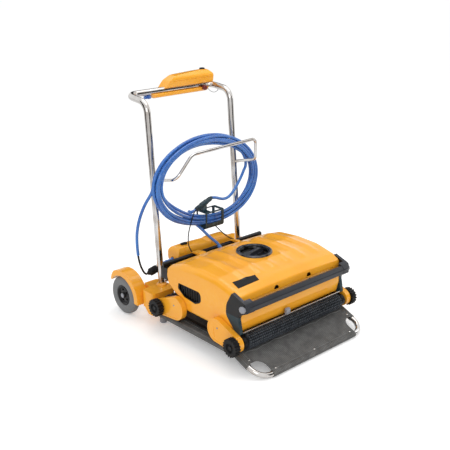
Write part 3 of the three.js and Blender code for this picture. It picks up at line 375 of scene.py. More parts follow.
def cut(base, *tools):
    return combined(base, "DIFFERENCE", tools)


def common(base, *tools):
    return combined(base, "INTERSECT", tools)


def joined(base, *tools):
    return combined(base, "UNION", tools)


still = Matrix.Identity(4)
acrossX = Matrix.Scale(-1, 4, (1, 0, 0))
toRear = Matrix.Translation((0, 2 * midY, 0)) @ Matrix.Scale(-1, 4, (0, 1, 0))


def moved(base, change):
    base.data.transform(change)
    if change.determinant() < 0:
        base.data.flip_normals()
    return base


def copyOf(base, change=still):
    made = base.copy()
    made.data = base.data.copy()
    scene.collection.objects.link(made)
    return moved(made, change)


def tag(side):
    return "left" if side < 0 else "right"


# From near to far on one side.
def span(side, near, far):
    return sorted((side * near, side * far))


# A left piece and its mirror image, and both again at the rear where the ends ask for it.
def mirrored(base, ends=("front",)):
    for end in ends:
        for side in sides:
            yield copyOf(base, (acrossX if side > 0 else still) @ (toRear if end == "rear" else still)), tag(side), end
    bpy.data.objects.remove(base)


# Gives a piece its finish, ties it to its body and hides the solids it stands for.
def dress(piece, finish, body, stands):
    piece.data.materials.clear()
    piece.data.materials.append(finishes[finish])
    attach(piece, body)
    if stands:
        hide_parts(*stands.split())
    return piece


# Brings a worked shape into the frame with its edges rounded or shaded.
def finishPiece(piece, name, finish, body="caddy", stands="", bevel=0.0, rounds=2, angle=30):
    piece.name = piece.data.name = name
    piece.data.transform(toFrame)
    piece.data.polygons.foreach_set("use_smooth", [True] * len(piece.data.polygons))
    if bevel:
        edge = piece.modifiers.new("edges", "BEVEL")
        edge.width = bevel * 0.001
        edge.segments = rounds
        edge.limit_method = "ANGLE"
        edge.angle_limit = math.radians(angle)
        edge.harden_normals = True
        edge.miter_outer = "MITER_ARC"
    else:
        piece.data.set_sharp_from_angle(angle=math.radians(angle))
    return dress(piece, finish, body, stands)


# Straight runs between corners [x, y, z, bend radius], with an arc at each corner.
def bentPath(corners, arcSteps=14):
    at = [Vector(c[:3]) for c in corners]
    points = [at[0]]
    for i in range(1, len(at) - 1):
        into, out, r = (at[i] - at[i - 1]).normalized(), (at[i + 1] - at[i]).normalized(), corners[i][3]
        angle = into.angle(out)
        start = at[i] - into * r * math.tan(angle / 2)
        inward = (out - into) - into * (out - into).dot(into)
        inward.normalize()
        centre = start + inward * r
        for k in range(arcSteps + 1):
            a = angle * k / arcSteps
            points.append(centre - inward * r * math.cos(a) + into * r * math.sin(a))
    points.append(at[-1])
    return points


def curvePiece(name, points, radius, finish, stands="", flowing=False, rings=7):
    data = bpy.data.curves.new(name, "CURVE")
    data.dimensions = "3D"
    data.bevel_depth = radius * 0.001
    data.bevel_resolution = rings
    data.use_fill_caps = True
    data.resolution_u = 8
    spline = data.splines.new("BEZIER" if flowing else "POLY")
    track = spline.bezier_points if flowing else spline.points
    track.add(len(points) - 1)
    for spot, p in zip(track, points):
        if flowing:
            spot.co = place(p)
            spot.handle_left_type = spot.handle_right_type = "AUTO"
        else:
            spot.co = (*place(p), 1)
    return dress(addObject(name, data), finish, "caddy", stands)


# A smooth run through the given points, evenly restationed.
def smoothRun(points, count):
    points = [Vector(p) for p in points]
    padded = [2 * points[0] - points[1], *points, 2 * points[-1] - points[-2]]
    dense = []
    for i in range(1, len(padded) - 2):
        a, b, c, d = padded[i - 1:i + 3]
        for t in [k / 24 for k in range(24)]:
            dense.append(0.5 * (2 * b + (c - a) * t + (2 * a - 5 * b + 4 * c - d) * t * t
                                + (3 * b - a - 3 * c + d) * t ** 3))
    dense.append(points[-1])
    along = [0.0]
    for p, q in zip(dense, dense[1:]):
        along.append(along[-1] + (q - p).length)
    made, j = [], 0
    for k in range(count):
        want = along[-1] * k / (count - 1)
        while j < len(along) - 2 and along[j + 1] < want:
            j += 1
        t = (want - along[j]) / max(1e-9, along[j + 1] - along[j])
        made.append(dense[j].lerp(dense[j + 1], min(1, t)))
    return made


def runLength(points):
    return sum((q - p).length for p, q in zip(points, points[1:]))


def smoothStep(t):
    return t * t * (3 - 2 * t)


def clamped(value, low=0, high=1):
    return max(low, min(high, value))


def spun(u, v, angle):
    return u * math.cos(angle) - v * math.sin(angle), u * math.sin(angle) + v * math.cos(angle)


# ---- cords ----
cable = {
    "diameter": 15, "turns": 8, "wide": 352, "tall": 203, "centre": (12, 306, 685),
    "setBack": 7, "roll": 7.5, "perTurn": 26, "spacing": 15.8, "first": 24, "last": 160,
    "places": ((-1.8, -0.5), (-1.15, 0.6), (-0.55, -0.55), (0.0, 0.55),
               (0.5, -0.6), (0.95, 0.5), (1.4, -0.55), (1.8, 0.4)),
}
# How the bundle widens, how its inner turns lift off and how it shifts: [degrees round it, spread, amount].
loosened = ((100, 0.5, -0.12), (178, 0.5, 0.34), (226, 0.4, 0.3), (6, 0.7, 0.5), (325, 0.4, 0.2))
lifted = ((222, 0.5, 20), (330, 0.45, 22), (84, 0.4, 20))
shifted = ((6, 0.7, -8), (178, 0.5, 5))
inlet = {"foot": Vector((11, 205, 330)), "line": Vector((-0.34, 0.5, 0.8)).normalized()}
supplyPlug = {"start": Vector((-320, 402, 238)), "end": Vector((-150, 402, 276))}
leadPlug = {"start": Vector((-82, 306, 546)), "end": Vector((26, 306, 588))}


# A point of the hung bundle: angle round it from the right side, and the turn's place in its section.
def bundlePoint(angle, radial, deep):
    x = (cable["wide"] + radial) * math.cos(angle)
    z = (cable["tall"] + radial) * math.sin(angle)
    x, z = spun(x, z, -math.radians(cable["roll"]))
    x, y = spun(x, deep, math.radians(cable["setBack"]))
    return Vector((x, y, z)) + Vector(cable["centre"])


def bells(angle, table):
    total = 0
    for middle, wide, amount in table:
        off = (angle - math.radians(middle) + math.pi) % (2 * math.pi) - math.pi
        total += amount * math.exp(-(off / wide) ** 2)
    return total


# The turns lie loosely: the inner ones lift off the rest at the top and low on both sides.
def coilTrack():
    track = []
    spacing, final = cable["spacing"], cable["turns"] - 1
    first, last = math.radians(cable["first"]), math.radians(cable["last"] + 360 * final)
    steps = int((last - first) / (2 * math.pi) * cable["perTurn"])
    for i in range(steps + 1):
        angle = first + (last - first) * i / steps
        lap = (angle - math.radians(270)) / (2 * math.pi) + 1   # whole numbers at the bottom of each lap
        number = math.floor(lap + 0.5)
        blend = smoothStep(0.5 + clamped((lap - number) / 0.16, -0.5, 0.5))   # moves to the next place near the bottom
        places = [cable["places"][clamped(n, 0, final)] for n in (number, number + 1)]
        radial, deep = [spacing * (here + (after - here) * blend) for here, after in zip(*places)]
        radial -= max(0, -radial / spacing - 0.8) * bells(angle, lifted)
        radial = radial * (0.86 + bells(angle, loosened)) + bells(angle, shifted)
        radial, deep = spun(radial, deep, 0.16 * math.sin(angle + 0.6) + 0.14 * math.sin(2 * angle))
        wander = 2.8 * math.sin(0.83 * angle + 1.0) + 1.9 * math.sin(2.37 * angle)
        track.append(bundlePoint(angle, radial + wander, deep + 1.2 * math.sin(1.61 * angle)))
    return track


# A cord along its points.
def layCord(name, run, diameter, finish, stands, rings=4, digits=3, **facts):
    piece = curvePiece(name, run, diameter / 2, finish, stands, flowing=True, rings=rings)
    tuple(place(run[0]))
    round(runLength(run) * 0.001, digits)


plugEnd = [(26, 306, 588), (44, 305, 586), (74, 305, 574), (112, 308, 563), (150, 312, 566), (190, 318, 588),
           (226, 325, 619), (262, 333, 655), (296, 340, 702)]
supplyEnd = [(-370, 268, 730), (-376, 276, 700), (-400, 300, 640), (-418, 320, 570), (-424, 335, 500), (-416, 350, 430),
             (-402, 365, 372)]
robotEnd = [*(inlet["foot"] + inlet["line"] * reach for reach in (34.5, 54)), (-29, 256, 400), (-45, 275, 424),
            (-58, 296, 446), (-68, 326, 466), (-76, 344, 500), (-92, 343, 526), (-105, 327, 538), (-102, 311, 538),
            (-81, 306, 546.5)]
sleeveRun = [(-401.5, 365.6, 369), (-392, 374, 340), (-372, 388, 296), (-352, 398, 262), (-340, 401, 245),
             (-327, 402, 237)]
lanyardRun = [(224, 560, 1092), (242, 556, 1074), (264, 550, 1066), (281, 544, 1074), (287, 538, 1090)]
ties = {
    "tie_left": [(-76, 292, 556), (-104, 276, 560), (-128, 268, 540), (-142, 270, 500), (-146, 280, 462),
                 (-149, 285, 424), (-155, 276, 388), (-150, 269, 362), (-142, 265, 346.4)],
    "tie_right": [(50, 306, 431), (86, 290, 388), (116, 273, 358), (141, 265, 346.4)],
}


def makeCable():
    reach = (leadPlug["end"] - leadPlug["start"]).length
    grip = [(0, 0), (9, 0), (11, 3), (11.6, 6)]
    grip += repeated([(12.4, 0), (12.4, 2.6), (11.2, 3.2), (11.2, 4.4)], 8, 5, 5)
    grip += [(12, 35), (14, 38), (14.4, 42), (14.4, reach - 40), (13.4, reach - 36), (12.4, reach - 33),
             (12.4, reach - 12), (10.5, reach - 8), (9, reach), (0, reach)]
    plug = turned(grip, leadPlug["start"], leadPlug["end"] - leadPlug["start"], 40)
    finishPiece(plug, "cable_plug", "teal", angle=35)
    whole = (smoothRun(plugEnd, 12) + coilTrack()[1:] + smoothRun(supplyEnd, 16))[::-1]
    layCord("floating_cable", whole, cable["diameter"], "blue", "cable_coil supply_lead", rings=5, digits=2,
            far_end="connector", stiffness="medium", lay="coiled", with_pieces=[plug])
    layCord("robot_cable", smoothRun(robotEnd, 22), cable["diameter"], "blue", "robot_lead", rings=5,
            far_end="object", stiffness="medium", lay="hanging")


# The black end of the supply's lead, with its coupling.
def makeSupplyCord():
    grip = [(0, 0), (9, 0), (10, 3), (15, 12), (19, 14), (20, 18)]
    grip += repeated([(20, 0), (18.6, 1.2), (18.6, 2.6), (20, 3.8)], 20, 5, 6)
    grip += [(20, 50), (18, 54), (18, 76), (0, 76)]
    seat = (supplyPlug["start"], supplyPlug["end"] - supplyPlug["start"])
    coupling = turned(grip, *seat, 48)
    finishPiece(coupling, "cable_coupling", "rubber", stands="coupling_body", angle=35)
    collar = turned([(18.1, 56), (18.8, 56.6), (18.8, 70), (18.1, 70.6)], *seat, 48, closed=True)
    finishPiece(collar, "coupling_collar", "tube", angle=35)
    layCord("supply_cord", smoothRun(sleeveRun, 18), 10, "rubber", "supply_sleeve", rings=5,
            far_end="connector", stiffness="medium", lay="hanging", with_pieces=[coupling, collar])


makeCable()
makeSupplyCord()
for name, stations in ties.items():
    layCord(name + "_wire", smoothRun(stations, 24), 5.4, "rubber", name, far_end="object", lay="hanging")
layCord("knob_lanyard", smoothRun(lanyardRun, 16), 2.4, "black", "lanyard", far_end="object", lay="loose")
print("cords laid")

# ---- caddy ----
hoop = {
    "radius": 16, "x": 268, "footY": 343.4, "lean": 0.0833, "bottom": 104, "knee": 1092,
    "crossbar": (592, 1108), "kneeBend": 60, "gripBend": 55,
}
rails = {
    "radius": 12.5, "x": 357, "z": 78, "rear": 326, "rampTop": -290, "kneeBend": 60, "toe": -446, "toeBend": 72,
    "hem": 15.3,
}
hook = {"radius": 7.8, "z": 719, "frontY": 234, "frontZ": 761, "topZ": 866, "shoulder": -158, "end": 264}
crossTube = {"radius": 12.5, "z": 224}
axleRod = {"radius": 8, "half": 391.6}
saddle = {"x": 361, "wide": 10, "long": 30, "seats": {"front": (-180, 100.5), "rear": (115, 103)}}   # y and top
supplyPlate = {"x": 28, "apart": 120, "half": 14, "low": 230, "high": 239.6}


def uprightY(z):
    return hoop["footY"] + hoop["lean"] * z


# A bent path from its left half.
def evenPath(left):
    return bentPath(left + [(-x, *rest) for x, *rest in left[::-1]], 18)


def makeTubes():
    x, bottom, knee, z = hoop["x"], hoop["bottom"], hoop["knee"], crossTube["z"]
    left = [(-x, uprightY(bottom), bottom), (-x, uprightY(knee), knee, hoop["kneeBend"]),
            (-x, *hoop["crossbar"], hoop["gripBend"])]
    curvePiece("hoop_tube", evenPath(left), hoop["radius"], "tube", "caddy_hoop", rings=10)
    left = [(-rails["x"], rails["rear"], rails["z"]), (-rails["x"], rails["rampTop"], rails["z"], rails["kneeBend"]),
            (-rails["x"], rails["toe"], rails["hem"], rails["toeBend"])]
    curvePiece("rail_tube", evenPath(left), rails["radius"], "tube", "rail_frame", rings=9)
    base, y = uprightY(hook["z"]) - hoop["radius"] + 2, hook["frontY"]
    corners = [
        (-x, base, hook["z"]), (-x + 8, y - 2, hook["frontZ"] - 8, 46), (hook["shoulder"], y, hook["topZ"] - 8, 64),
        (hook["end"], y, hook["topZ"] + 4, 26), (x, y + 4, hook["frontZ"], 20), (x, base, hook["z"]),
    ]
    curvePiece("hook_tube", bentPath(corners), hook["radius"], "tube", "cable_hook")
    cross, rod = [(k * x, uprightY(z), z) for k in sides], [(k * axleRod["half"], *wheelAxle) for k in sides]
    curvePiece("cross_tube", cross, crossTube["radius"], "tube", "rear_cross_tube", rings=9)
    curvePiece("axle_rod", rod, axleRod["radius"], "tube", "wheel_axle")


def makeRests():
    x, wide, long = -saddle["x"], saddle["wide"] / 2, saddle["long"] / 2
    for end, (y, top) in saddle["seats"].items():
        for piece, hand, _ in mirrored(block(x - wide, x + wide, y - long, y + long, rails["z"] + 4, top)):
            finishPiece(piece, f"saddle_{hand}_{end}", "rubber", bevel=1.5, rounds=3)
    y, half = uprightY(crossTube["z"]), supplyPlate["half"]
    for side in sides:
        x = supplyPlate["x"] + side * supplyPlate["apart"]
        plate = block(x - half, x + half, y - 6, y + 60, supplyPlate["low"], supplyPlate["high"])
        finishPiece(plate, "supply_plate_" + tag(side), "grey", bevel=1.5, rounds=3)


makeTubes()
makeRests()
print("tubes bent")

# ---- mesh sheet between the rails ----
sheet = {
    "rear": 180, "hemRear": 272, "cornerX": 282, "cornerY": -372, "notch": 42, "thick": 1.4, "sag": 1.6,
    "half": rails["x"] - 4, "stitchInset": 21, "fold": -319, "station": 8,
    "rivets": ((-256, -441), (0, -441), (256, -441), (-338, -356), (338, -356)),
}


def rampProfile():
    slope = math.atan2(rails["z"] - rails["hem"], rails["rampTop"] - rails["toe"])
    up = rails["radius"] + 1.6
    knee = (rails["rampTop"] - up * math.tan(slope / 2), rails["z"] + up)
    toe = (rails["toe"] - up * math.sin(slope), rails["hem"] + up * math.cos(slope))
    run = bentPath([(0, sheet["rear"], rails["z"] + up), (0, *knee, rails["kneeBend"]), (0, *toe)], 10)
    points = []
    for a, b in zip(run, run[1:]):
        steps = max(1, int((b - a).length / sheet["station"]))
        points += [a.lerp(b, k / steps) for k in range(steps)]
    return points + [run[-1]]


def makeSheet():
    profile = rampProfile()
    half, toe, hem = sheet["half"], rails["toe"], rails["hem"]

    def sag(x):
        return sheet["sag"] * (1 - (x / half) ** 2)

    def surface(x, y, lift):
        for a, b in zip(profile, profile[1:]):
            if min(a.y, b.y) <= y <= max(a.y, b.y):
                here = a.lerp(b, (y - a.y) / (b.y - a.y) if a.y != b.y else 0)
                return Vector((x, y, here.z + lift - sag(x)))
        return Vector((x, y, profile[-1].z + lift))

    columns = [-half + 2 * half * i / 88 for i in range(89)]
    cloth = slab(*[[[(x, p.y, p.z + lift - sag(x)) for x in columns] for p in profile]
                   for lift in (-sheet["thick"] / 2, sheet["thick"] / 2)])
    for side in sides:
        x, y = side * sheet["cornerX"], sheet["cornerY"]
        notch = outline([(side * 400, y), (x, y, sheet["notch"]), (x, -500), (side * 400, -500)], 12)
        cut(cloth, prism(notch, "z", 0, 150))
    cloth = finishPiece(cloth, "mesh_cloth", "mesh", stands="mesh_sheet", angle=40)
    reach = 1 - (sheet["cornerY"] - toe) / (rails["rampTop"] - toe)
    for side in sides:
        x = side * rails["x"]
        corners = [
            (x, sheet["hemRear"], rails["z"]), (x, rails["rampTop"], rails["z"], rails["kneeBend"]),
            (x, rails["rampTop"] + (toe - rails["rampTop"]) * reach, rails["z"] + (hem - rails["z"]) * reach),
        ]
        curvePiece("side_hem_" + tag(side), bentPath(corners, 12), hem, "mesh", rings=8)
        seam = [surface(side * (rails["x"] - sheet["stitchInset"]), y, 1) for y in range(-366, 170, 12)]
        curvePiece("side_stitches_" + tag(side), seam, 0.9, "thread", rings=3)
    curvePiece("front_hem", [(k * sheet["cornerX"], toe, hem) for k in sides], hem, "mesh", rings=8)
    seam = [surface(x, toe + 5, 1) for x in range(-278, 279, 12)]
    curvePiece("front_stitches", seam, 1.0, "thread", rings=3)
    fold = [(x, sheet["fold"] + 2.6 * math.sin(x / 31) + 1.6 * math.sin(x / 12.7)) for x in range(-328, 329, 8)]
    curvePiece("fold_seam", [surface(*p, 1.2) for p in fold], 1.5, "thread", rings=3)
    for i, (x, y) in enumerate(sheet["rivets"]):
        stud = turned([(0, 0), (4.6, 0), (4.2, 1.2), (2.6, 2), (0, 2.2)], surface(x, y, 0.9), (0, -0.36, 1), 20)
        finishPiece(stud, "hem_rivet_" + str(i), "tube", angle=35)
    round(runLength(profile) * 0.001, 3)


makeSheet()
print("mesh sheet stretched")

# ---- corner blocks, feet and wheels ----
corner = {
    "bottom": 60, "rearBottom": 90, "top": 178, "front": 284, "rear": 432, "inner": 235, "outer": 380,
    "step": (329, 376),
}
foot = {"x": 307, "y": 303}
fender = {"inner": 108, "outer": 137, "outerX": 405, "innerX": 338, "web": 6, "start": 37, "stop": 184}
wheel = {"r": 100, "outer": 400, "wide": 44, "rim": 54, "bore": 8.4, "pockets": 5}


def makeCorner():
    c = corner
    plan = outline([
        (-c["outer"], c["front"], 18), (-c["inner"], c["front"], 26), (-c["inner"], c["rear"], 26),
        (-c["step"][0], c["rear"], 14), (-c["step"][0], c["step"][1], 4), (-c["outer"], c["step"][1], 14),
    ])
    side = outline([
        (c["front"] - 5, c["bottom"] - 5), (c["front"] + 40, c["bottom"] - 5), (c["front"] + 72, c["rearBottom"], 20),
        (c["rear"] + 5, c["rearBottom"] + 8), (c["rear"] + 5, c["top"] + 5), (c["front"] - 5, c["top"] + 5),
    ])
    left = common(prism(plan, "z", c["bottom"], c["top"]), prism(side, "x", -c["outer"] - 5, -c["inner"] + 5))
    cut(left, prism(circle(-rails["x"], rails["z"], 13, 32), "y", c["front"] - 5, rails["rear"]))
    for piece, hand, _ in mirrored(left):
        name = "corner_block_" + hand
        finishPiece(piece, name + "_body", "yellow", stands=name, bevel=8, rounds=5, angle=40)
    boss = turned([(0, 98), (26, 98), (27, 100), (27, 180), (26, 182.6), (24, 184), (22, 187), (20, 188), (0, 188)],
                  (-hoop["x"], uprightY(0), 0), (0, hoop["lean"], 1), 56)
    for piece, hand, _ in mirrored(boss):
        finishPiece(piece, "upright_boss_" + hand, "yellow", bevel=1.2)
    leg = turned([(0, 0), (15, 0), (17, 1), (18, 3), (18, 29), (17, 31), (15.2, 33), (15, 100), (0, 100)],
                 (-foot["x"], foot["y"], 0), (0, 0, 1), 48)
    for piece, hand, _ in mirrored(leg):
        finishPiece(piece, "foot_" + hand, "grey", stands="leg_" + hand)


def makeFender():
    f, steps = fender, 44
    y, z = wheelAxle
    outer, inner = [], []
    for i in range(steps + 1):
        t = i / steps
        a = math.radians(f["start"] + (f["stop"] - f["start"]) * t)
        r = f["inner"] + (f["outer"] - f["inner"]) * min(1, 0.28 + 4.4 * t)
        outer.append((y + r * math.cos(a), z + r * math.sin(a)))
        inner.append((y + f["inner"] * math.cos(a), z + f["inner"] * math.sin(a)))
    arch = prism(outer + inner[::-1], "x", -f["outerX"], -f["innerX"])
    web = outline([
        (y + 88, z + 66, 8), (y + 40, z + 111, 20), (y - 50, z + 108, 30), (y - 112, z + 40, 20),
        (y - 112, z - 26, 14), (y + 12, z - 26, 16), (y + 34, z + 10, 16),
    ])
    joined(arch, prism(web, "x", -f["innerX"] - f["web"], -f["innerX"]))
    cut(arch, prism(circle(y, z, wheel["bore"], 40), "x", -f["outerX"], -300))
    for piece, hand, _ in mirrored(arch):
        finishPiece(piece, "wheel_fender_" + hand, "yellow", stands="fender_" + hand, bevel=2.2, rounds=3, angle=35)


def makeWheels():
    half, rim, r = wheel["wide"] / 2, wheel["rim"], wheel["r"]
    tread = [(rim + 0.4, -half + 5), (rim + 5, -half + 2), (rim + 12, -half), (r - 18, -half), (r - 9, -half + 2.4),
             (r - 3, -half + 7), (r - 0.6, -half + 12), (r, -half + 17)]
    tread += [(u, -v) for u, v in tread[::-1]]
    disc = [
        (0, -half - 1), (13, -half - 0.6), (14.5, -half + 1), (16, -half + 9), (38, -half + 12), (43, -half + 5),
        (46, -half + 3), (51.5, -half + 3.4), (rim, -half + 5), (rim, half - 4), (45, half - 4), (40, half - 12),
        (18, half - 10), (18, half), (0, half),
    ]
    cap = [(0, -half - 2.6), (11, -half - 2.6), (12.5, -half - 1.6), (12.5, -half - 0.4), (0, -half - 0.4)]
    axleY, axleZ = wheelAxle
    for side in sides:
        hand = tag(side)
        body = "wheel_" + hand
        seat = ((side * (wheel["outer"] - half), axleY, axleZ), (-side, 0, 0))
        finishPiece(turned(tread, *seat, 120, closed=True), "wheel_tyre_" + hand, "tyre", body, "tyre_" + hand, angle=40)
        centre = turned(disc, *seat, 90)
        for i in range(wheel["pockets"]):
            a = 2 * math.pi * i / wheel["pockets"]
            y, z = axleY + 29 * math.cos(a), axleZ + 29 * math.sin(a)
            pocket = [(y + 9 * math.cos(a + q), z + 9 * math.sin(a + q), 3) for q in (0.9, 2.25, 4.03, 5.38)]
            cut(centre, prism(outline(pocket, 4), "x", *span(side, 350, 406)))
        cut(centre, prism(circle(axleY, axleZ, wheel["bore"], 40), "x", *span(side, 300, 392)))
        finishPiece(centre, "wheel_rim_" + hand, "black", body, "rim_" + hand, bevel=0.8, angle=35)
        finishPiece(turned(cap, *seat, 40), "hub_disc_" + hand, "grey", body)


makeCorner()
makeFender()
makeWheels()
print("blocks, fenders and wheels made")

# ---- control unit on the crossbar ----
control = {
    "left": -46, "right": 272, "top": 1188, "base": 1118, "front": 562, "rear": 636,
    "button": (224, 602), "knob": (206, 1096),
}
lip = {"left": -130, "right": 244, "top": 1104, "bottom": 1074, "rear": 622}


# A body with one outline seen from the side and another seen from the front.
def crossed(side, spanX, front, spanY):
    return common(prism(side, "x", *spanX), prism(front, "y", *spanY))


def makeControl():
    c, l = control, lip
    (buttonX, buttonY), (knobX, knobZ) = c["button"], c["knob"]
    side = outline([
        (c["front"] + 4, c["base"], 8), (c["front"], c["top"] - 24, 22), (c["front"] + 22, c["top"], 22),
        (c["rear"] - 18, c["top"] - 2, 22), (c["rear"], c["base"] - 22, 8), (618, c["base"] - 22, 4),
        (616, c["base"], 6),
    ], 12)
    front = outline([
        (c["left"], c["base"] - 30), (c["left"], c["base"], 12), (c["left"] + 24, c["top"] - 36, 40),
        (c["left"] + 66, c["top"] - 13, 70), (c["right"] - 30, c["top"], 30), (c["right"], c["top"] - 26, 30),
        (c["right"] - 4, c["base"], 16), (c["right"] - 20, c["base"] - 30),
    ], 12)
    housing = crossed(side, (c["left"], c["right"]), front, (c["front"] - 1, c["rear"] + 1))
    seam = c["base"] + 30
    cut(housing, block(c["left"] - 5, c["right"] + 5, c["front"] - 5, c["front"] + 2.6, seam, seam + 2))
    cut(housing, prism(circle(buttonX, buttonY, 15.5, 40), "z", c["top"] - 18, c["top"] + 20))
    finishPiece(housing, "control_housing", "yellow", stands="control_shell", bevel=9, rounds=6, angle=46)
    side = outline([
        (c["front"] + 6, l["top"] - 6, 5), (c["front"] + 8, l["bottom"] + 6, 8), (c["front"] + 22, l["bottom"], 8),
        (616, l["bottom"] + 4, 8), (616, l["top"] - 9, 4),
    ], 10)
    front = outline([
        (l["left"], l["top"] - 4, 8), (l["left"] + 18, l["bottom"] - 2, 12), (l["right"] - 16, l["bottom"] - 2, 8),
        (l["right"], l["top"] - 4, 8), (l["right"], l["top"] + 4), (l["left"], l["top"] + 4),
    ], 10)
    tray = crossed(side, (l["left"], l["right"]), front, (c["front"], l["rear"]))
    cut(tray, prism(circle(knobX, knobZ, 9, 32), "y", c["front"], c["front"] + 18))
    finishPiece(tray, "control_tray", "yellow", stands="control_lip", bevel=5, rounds=4, angle=40)
    button = turned([(0, -10), (15, -10), (15, 1.5), (14.4, 3.4), (12.5, 5), (9, 6), (4, 6.4), (0, 6.5)],
                    (buttonX, buttonY, c["top"] - 1), (0, 0, 1), 48)
    finishPiece(button, "power_button", "rubber", "control_button", "control_button", angle=50)
    knob = [(0, 0), (7, 0), (7, 9), (12, 9.6), (13.6, 11), (14, 14), (13.4, 20), (12, 23.4), (9.6, 24.8), (0, 25)]
    knob = turned(knob, (knobX, c["front"] + 14, knobZ), (0, -1, 0), 40)
    finishPiece(knob, "locking_knob", "red", "lock_knob", "lock_knob", angle=50)
    socket = turned([(0, 0), (9, 0), (10, 2), (10, 14), (8, 16), (8, 34), (7, 36.4), (0, 37)],
                    (l["left"] - 0.4, 588, l["top"] - 20), (-1, 0, 0), 36)
    finishPiece(socket, "control_connector", "blue", stands="control_socket", angle=40)


supply = {
    "left": -160, "right": 216, "front": 352, "rear": 440, "bottom": 240, "top": 342, "collar": 74,
    "switch": (-86, 400), "socket": (402, 276), "bands": (62, -114), "groove": 2.4,
}


def roundedBox(u, v, halfU, halfV, r):
    return outline([(u + i * halfU, v + j * halfV, r) for i, j in ((-1, -1), (1, -1), (1, 1), (-1, 1))])


def makeSupply():
    s, g = supply, supply["groove"]
    side = outline([
        (s["front"], s["bottom"], 24), (s["front"], s["top"] - 6, 34), (s["rear"], s["top"], 34),
        (s["rear"], s["bottom"], 24),
    ], 12)
    front = outline([
        (s["left"], s["bottom"], 42), (s["left"], s["top"], 36), (s["collar"] - 16, s["top"] - 18, 14),
        (s["collar"], s["top"] - 8, 16), (s["right"], s["top"] - 12, 36), (s["right"], s["bottom"], 42),
    ], 12)
    housing = crossed(side, (s["left"], s["right"]), front, (s["front"], s["rear"]))
    cut(housing, prism(circle(*s["socket"], 11.4, 40), "x", s["left"] - 2, s["left"] + 20))
    cut(housing, prism(roundedBox(*s["switch"], 20.4, 10.4, 8), "z", s["top"] - 20, s["top"] + 5))
    inside = outline([
        (s["front"] + g, s["bottom"] + g, 22), (s["front"] + g, s["top"] - 8, 30), (s["rear"] - g, s["top"] - g, 32),
        (s["rear"] - g, s["bottom"] + g, 22),
    ], 12)
    for x in s["bands"]:   # moulded bands round the housing
        band = block(x, x + 5, s["front"] - 9, s["rear"] + 9, s["bottom"] - 9, s["top"] + 9)
        cut(housing, cut(band, prism(inside, "x", x - 5, x + 10)))
    finishPiece(housing, "supply_housing", "yellow", stands="supply_box", bevel=13, rounds=6, angle=46)
    switch = prism(roundedBox(*s["switch"], 20, 10, 8), "z", s["top"] - 14, s["top"] + 2.4)
    finishPiece(switch, "supply_switch", "rubber", "supply_button", "supply_button", bevel=2.5, rounds=4)
    plug = [(0, 76.5), (9, 76.5), (9, 102), (12, 102.6), (13, 104), (13, 108), (12.2, 109), (12.2, 122), (13, 123),
            (13, 128), (11, 131), (9, 132), (9, 166), (0, 166)]
    plug = turned(plug, supplyPlug["start"], supplyPlug["end"] - supplyPlug["start"], 40)
    finishPiece(plug, "housing_plug", "blue", stands="supply_plug", angle=35)


makeControl()
makeSupply()
print("control unit and power supply made")

# ---- robot shell ----
shell = {
    "half": 350, "crown": 9, "crownFade": 46, "bottom": 149, "seam": 322, "endRound": 30, "middle": (-42, 275),
    "reach": (264, 125), "wall": 5, "station": 7, "notch": {"x": 109, "r": 16}, "tab": {"x": 124, "reach": (21, 9)},
}
ridge = {
    "high": 6.2, "pitch": 96, "shift": 30, "power": 2.2, "side": 300, "sideFade": 30, "front": -226, "frontFade": 34,
    "rear": 190, "rearFade": 90, "ring": 98, "ringFade": 40, "low": 350, "lowFade": 20,
}
outlet = {"y": -34.5, "ring": 89, "rim": 72, "hole": 82}
shellSide = [
    (226, 298, 30), (220, 334, 14), (196, 359, 30), (108, 391, 90), (-13, 403, 200), (-146, 399, 120), (-252, 375, 60),
    (-290, 353, 18), (-297, 322, 16), (-296, 300, 60), (-299, 226, 40), (-287, 178, 3), (-262, 178, 3),
    (-256, shell["bottom"], 6), (118, shell["bottom"], 10), (130, 207, 14), (176, 229, 20), (214, 258, 20),
]


# The side outline as a ring with a station every few millimetres.
def stationed(points):
    ring = []
    for p, q in zip(points, points[1:] + points[:1]):
        steps = max(1, round((q - p).length / shell["station"]))
        ring += [p.lerp(q, k / steps) for k in range(steps)]
    return ring


shellRing = stationed(outline(shellSide))


def endInset(x):
    r = shell["endRound"]
    over = abs(x) - (shell["half"] - r)
    return 0 if over <= 0 else r - math.sqrt(max(0, r * r - over * over))


# Shallow ribs that run front to rear and fade out behind the front edge.
def ridgeHeight(x, y):
    r = ridge
    wave = (0.5 + 0.5 * math.cos(2 * math.pi * (x + r["shift"]) / r["pitch"])) ** r["power"]
    fadeX = clamped((r["side"] - abs(x)) / r["sideFade"])
    fadeY = smoothStep(clamped((y - r["front"]) / r["frontFade"]) * clamped((r["rear"] - y) / r["rearFade"]))
    fadeRing = clamped((math.hypot(x, y - outlet["y"]) - r["ring"]) / r["ringFade"])
    return r["high"] * wave * fadeX * fadeY * fadeRing


def shellPoint(x, p, wall=0.0):
    half, inset = shell["half"] - wall, endInset(x) + wall
    (cy, cz), (ry, rz) = shell["middle"], shell["reach"]
    y, z = cy + (p[0] - cy) * (1 - inset / ry), cz + (p[1] - cz) * (1 - inset / rz)
    z -= shell["crown"] * (x / shell["half"]) ** 2 * smoothStep(clamped((p[1] - shell["seam"]) / shell["crownFade"]))
    if not wall:
        z += ridgeHeight(x, y) * clamped((p[1] - ridge["low"]) / ridge["lowFade"])
    return clamped(x, -half, half), y, z


def shellStations():
    flat = shell["half"] - shell["endRound"]
    bend = [flat + shell["endRound"] * math.sin(math.radians(a)) for a in (12, 24, 36, 48, 58, 68, 78, 84, 90)]
    return [-x for x in bend[::-1]] + [-flat + 2 * flat * i / 92 for i in range(93)] + bend


